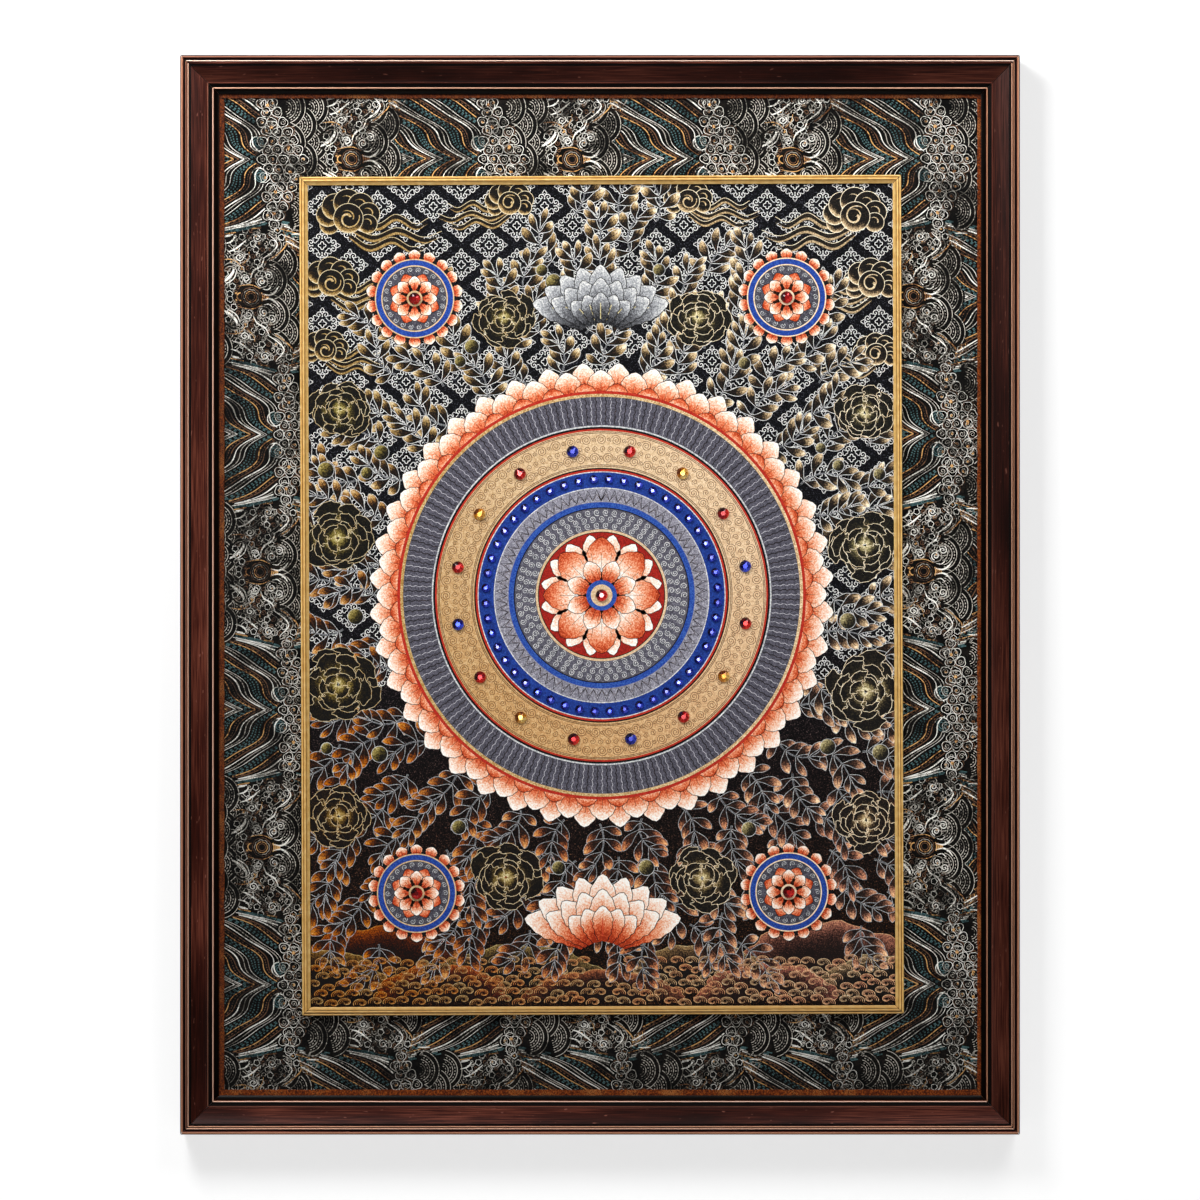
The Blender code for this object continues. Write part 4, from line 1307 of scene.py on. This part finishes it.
MINERALS = {
    # name, mixes, and the warm mixes where it has them
    "silver": ("silver_line_paint", [(0.0, "#141518"), (0.4, "#595a5e"), (0.7, "#9d9fa2"), (1.0, "#e2e1dd")]),
    "leaf": (
        "leaf_gold_paint",
        [(0.0, "#090807"), (0.25, "#2a1e10"), (0.5, "#84683c"), (0.75, "#c2a26a"), (1.0, "#ecdfbe")],
        [(0.0, "#120906"), (0.25, "#4a200b"), (0.5, "#b0581c"), (0.75, "#dd8c36"), (1.0, "#f2c87c")],
    ),
    "gold": (
        "olive_gold_paint",
        [(0.0, "#0a0908"), (0.25, "#2b2513"), (0.5, "#6e602e"), (0.75, "#b0a060"), (1.0, "#e4dab0")],
        [(0.0, "#140805"), (0.25, "#4c1c0a"), (0.5, "#9c4216"), (0.75, "#c8762c"), (1.0, "#e8b870")],
    ),
    "tan": (
        "warm_tan_paint",
        [(0.0, "#6a4a28"), (0.5, "#b08a5a"), (0.8, "#d2b084"), (1.0, "#e6cda6")],
        [(0.0, "#5c3414"), (0.5, "#a87038"), (0.8, "#c8985c"), (1.0, "#dcb880")],
    ),
    "lotus": (
        "orange_and_white_lotus_paint",
        [(0.0, "#8e260c"), (0.25, "#c8522a"), (0.5, "#dd9068"), (0.75, "#ecccb6"), (1.0, "#f2efe9")],
    ),
    "blue": ("ultramarine_paint", [(0.0, "#101a48"), (0.4, "#1c3a8c"), (1.0, "#4874ba")]),
    "red": ("vermilion_paint", [(0.0, "#5e0e0c"), (0.5, "#a8241a"), (1.0, "#cc4c2c")]),
    "slate": (
        "slate_violet_paint",
        [(0.0, "#24242a"), (0.4, "#55535e"), (0.75, "#85838e"), (1.0, "#bcbac2")],
    ),
    "black": ("lamp_black_paint", [(0.0, "#08080a"), (0.4, "#1a1312"), (0.7, "#4a2c1a"), (1.0, "#7a5028")]),
}

for paint, parts in paints.items():
    points, faces = facing_front(*joined(parts))
    u, v, layer, tone, warm = points.T
    placed = in_picture(u * MM, v * MM, layer * 0.01 * MM)
    name, values, uv = f"design_in_{paint}", {"tone": tone, "warm": warm}, {"OFBake": flat_map(placed)}
    part = add_piece(name, placed, faces.tolist(), mineral_paint(*MINERALS[paint]), values=values, uv=uv)

# --------------------------------------------------------------------------- stones
# Foil-backed glass stones glued to the paint: rubies, ambers and sapphires of 8 mm, and a ring of 48
# sapphires of 6 mm. Each is cut with a table, a ring of kites and two rings of small triangles. All of a
# colour are one piece.

STONE_BASE = 0.3 * MM  # in front of the cloth
LARGE_STONE, SMALL_STONE = (4.1, 3.2, 0.9), (2.95, 2.3, 0.7)  # radius, height and girdle, in millimetres


def cut_stone(radius, height, girdle):
    """The facets of a stone whose foot is at the origin, as lists of corners, seen from the front. The table
    is an eight-sided figure, the middle ring has eight corners between the table's, and the girdle has
    sixteen."""
    eighth, sixteenth = [2 * math.pi * np.arange(n) / n for n in (8, 16)]

    def ring(angles, size, depth):
        return np.stack([size * np.cos(angles), size * np.sin(angles), 0 * angles + depth], axis=1)

    table = ring(eighth, 0.38 * radius, height)
    middle = ring(eighth + math.pi / 8, 0.8 * radius, height - 0.16 * radius)
    edge = ring(sixteenth, radius, girdle)
    foot = ring(sixteenth, 0.92 * radius, 0.0)
    facets = [list(table)]
    for k in range(8):
        following = (k + 1) % 8
        facets.append([table[k], middle[k], table[following]])
        facets.append([table[following], middle[k], edge[(2 * k + 2) % 16], middle[following]])
        facets.append([middle[k], edge[2 * k], edge[2 * k + 1]])
        facets.append([middle[k], edge[2 * k + 1], edge[(2 * k + 2) % 16]])
    for k in range(16):
        facets.append([edge[k], foot[k], foot[(k + 1) % 16], edge[(k + 1) % 16]])
    return facets


def foil_glass(name, codes):
    """Glass over coloured foil: deep colour under a clear hard surface, with painted highlights on some
    facets. The glint attribute says how bright a facet is painted, as a painted reflection of its foil."""
    material, tree = surface(name, Roughness=0.14, Metallic=0.6, Coat_Weight=0.45, Coat_Roughness=0.04)
    glint = node(tree, "Attribute", out="Fac", attribute_name="glint")
    node(tree, "ValToRGB", {"Fac": glint}, list(zip((0.0, 0.5, 1.0), codes)), feeds="Base Color")
    return material


CAD_STONES = [
    (f"stone_ring_{number + 1:02d}", ("ruby", "amber", "ruby", "sapphire")[number % 4], place)
    for number, place in enumerate(around(16, 100.0, 0.5)[0])
]
CAD_STONES += [("stone_centre", "ruby", (0, 0))]
CAD_STONES += [(f"stone_roundel_{number + 1}", "ruby", place) for number, place in enumerate(ROUNDELS)]
GLASS = {
    "ruby": ("ruby_foil_glass", ("#260003", "#a00a10", "#ff342a")),
    "amber": ("amber_foil_glass", ("#6b3200", "#d88a14", "#ffe28a")),
    "sapphire": ("sapphire_foil_glass", ("#01032a", "#091a90", "#4662ff")),
}
for colour, (title, codes) in GLASS.items():
    chosen = [(name, place) for name, stone, place in CAD_STONES if stone == colour]
    settings = [(place, *LARGE_STONE) for _, place in chosen]
    if colour == "sapphire":
        settings += [(place, *SMALL_STONE) for place in around(48, 79.3, 0.5)[0]]
    corners, faces, painted_glints = [], [], []
    for number, (place, radius, height, girdle) in enumerate(settings):
        turned = number * 0.7
        for facet in cut_stone(radius, height, girdle):
            facet = np.array(facet)
            u = facet[:, 0] * math.cos(turned) - facet[:, 1] * math.sin(turned) + place[0]
            v = facet[:, 0] * math.sin(turned) + facet[:, 1] * math.cos(turned) + place[1]
            faces.append(list(range(len(corners), len(corners) + len(facet))))
            corners += np.stack([u, v, facet[:, 2]], axis=1).tolist()
            # painted highlight: the foil is painted flaring opposite the light that enters, at the lower
            # right, and here and there elsewhere
            middle = np.mean([u - place[0], v - place[1]], axis=1) / radius
            painted_flare = 0.42 + 0.5 * (middle[0] - middle[1]) + 0.25 * math.sin(len(faces) * 12.9)
            painted_glints += [min(1.0, max(0.0, painted_flare))] * len(facet)
    corners = np.array(corners)
    placed = in_picture(corners[:, 0] * MM, corners[:, 1] * MM, corners[:, 2] * MM + STONE_BASE)
    gems = add_piece(f"{colour}_stones", placed, faces, foil_glass(title, codes), values={"glint": painted_glints})
    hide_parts(*[name for name, _ in chosen])

# --------------------------------------------------------------------------- gilt fillet
# A narrow slip moulding in four mitred lengths, covered in gold leaf. It stands on the brocade and laps over
# the picture's edge. Its face has two beads and a slope that falls to the picture.

FILLET_OUTER = (410.5 * MM, 572.2 * MM)
FILLET_FOOT = 11.8 * MM  # in front of the frame's back
FILLET_STEPS = 24
FILLET_PAINTED_SHADE = {"top": 0.05, "right": 0.0, "bottom": 0.8, "left": 0.1}  # painted shade: how far each length's leaf is darkened, most on the bottom one, where least light falls


def gold_leaf():
    """Gold leaf on a moulded slip: warm, fairly bright metal, softened by size, and darkened in its quirks
    and on some lengths as painted shade.
    """
    material, tree = surface("gold_leaf_slip", Metallic=0.3, Roughness=0.45)
    place = node(tree, "TexCoord", out="Object")
    mottle = node(tree, "TexNoise", {"Vector": place, "Scale": 260.0, "Detail": 4.0})
    gold = node(tree, "ValToRGB", {"Fac": mottle}, [(0.3, "#d3a458"), (0.5, "#dfb46a"), (0.7, "#e9c680")])
    stain_and_shade = node(tree, "Attribute", out="Fac", attribute_name="stain_and_shade")
    shade_share = node(tree, "Math", {0: stain_and_shade, 1: 0.8}, operation="MULTIPLY")
    node(tree, "MixRGB", {"Fac": shade_share, "Color1": gold, "Color2": linear("#85602c")}, feeds="Base Color")
    node(tree, "Bump", {"Height": mottle, "Strength": 0.15, "Distance": 0.15 * MM}, feeds="Normal")
    return material


# the slip's section, as in the solid, with forward counted from its foot
slip = section_of([
    [[0.0, 0.0, *CLEAR]],
    bead(0.0, 1.3, 3.9, 0.7, rub_and_highlight=1.0, steps=8),
    [[1.5, 3.5, *STAINED_AND_SHADED]],
    bead(1.7, 3.3, 4.1, 1.0, rub_and_highlight=1.0, steps=10),
    [[3.5, 3.6, *STAINED_AND_SHADED]],
    hollow((3.7, 4.4), (5.6, 2.6), 0.15, stain_and_shade=0.0, steps=5),
    [[5.6, 1.5, *STAINED_AND_SHADED], [3.0, 1.5, *STAINED_AND_SHADED], [3.0, 0.0, *STAINED_AND_SHADED]],
])
leaf = gold_leaf()
for quarter, side in enumerate(SIDES):
    length, reach = FILLET_OUTER[quarter % 2], FILLET_OUTER[1 - quarter % 2]
    points, faces, along = mitred_bar(slip, length, reach, quarter, FILLET_STEPS)
    points = in_picture(points[:, 0], points[:, 2], -points[:, 1] + FILLET_FOOT + PICTURE_FRONT)
    # darkened quirks, and each length's painted shade
    stain_and_shade = np.tile(np.maximum(slip[:, 2], FILLET_PAINTED_SHADE[side]), FILLET_STEPS + 1)
    bar = add_piece(f"gilt_slip_{side}", points, faces, leaf, 32, {"stain_and_shade": stain_and_shade})
    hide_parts(f"fillet_{side}")

# --------------------------------------------------------------------------- wall, floor and light
# A white wall that the frame hangs against and that glows a little of itself, a pale floor well below it,
# and soft light from the upper left and right.

WALL_GAP = 1.0 * MM
WALL = 3.0  # half the wall's width, its height above the origin, and half the floor's width
FLOOR_Z = -1.6

wall_paint, tree = surface(
    "backlit_white_wall", Base_Color=linear("#bcbcbc"), Roughness=0.9, Emission_Color=linear("#ffffff")
)
# the glow makes up for the light that the wall gets less of lower down
wall_height = node(tree, "SeparateXYZ", {"Vector": node(tree, "TexCoord", out="Object")}, out="Z")
span = {"From Min": 0.0, "From Max": -FRAME_HEIGHT, "To Min": 0.35, "To Max": 0.61}
node(tree, "MapRange", {"Value": wall_height, **span}, feeds="Emission Strength")
# the wall is seen from the front only, so that the frame's back can be looked at
painted_side, nothing = tree.nodes["Principled BSDF"].outputs["BSDF"], node(tree, "BsdfTransparent")
behind = node(tree, "NewGeometry", out="Backfacing")
seen = node(tree, "MixShader", {0: behind, 1: painted_side, 2: nothing})
tree.links.new(seen, tree.nodes["Material Output"].inputs["Surface"])
floor_paint, _ = surface("pale_floor", Base_Color=linear("#e6e6e6"), Roughness=0.8)
wall_y = cad_high.y + WALL_GAP
for name, near, far, material in (
    ("wall", (wall_y, FLOOR_Z), (wall_y, WALL), wall_paint),
    ("floor", (-WALL, FLOOR_Z), (WALL, FLOOR_Z), floor_paint),
):
    mesh = bpy.data.meshes.new(name)
    mesh.from_pydata([(-WALL, *near), (WALL, *near), (WALL, *far), (-WALL, *far)], [], [(0, 1, 2, 3)])
    mesh.materials.append(material)
    put(name, mesh)


def soft_box(name, place, size, power):
    """A square area light at a place, turned to face the picture's middle."""
    light = bpy.data.lights.new(name, "AREA")
    light.size = size
    light.energy = power
    made = put(name, light)
    made.location = place
    across, back, up = np.array([0, 0, MIDDLE_Z]) - place
    tilt = math.atan2(math.hypot(across, back), -up)
    made.rotation_euler = (tilt, 0.0, math.atan2(back, across) - math.pi / 2)


soft_box("key", (-0.55, -0.8, 0.46), 0.5, 17)
soft_box("fill", (0.6, -0.85, 0.5), 0.7, 11)
# a small lamp beside the camera, that glints in the stones
soft_box("glint", (0.0, -3.2, MIDDLE_Z + 0.02), 0.3, 12)
world = bpy.data.worlds.new("studio")
world.use_nodes = True
background = world.node_tree.nodes["Background"]
background.inputs["Color"].default_value = linear("#f2f4f6")
background.inputs["Strength"].default_value = 0.05
bpy.context.scene.world = world
bpy.context.scene.view_settings.view_transform = "Standard"
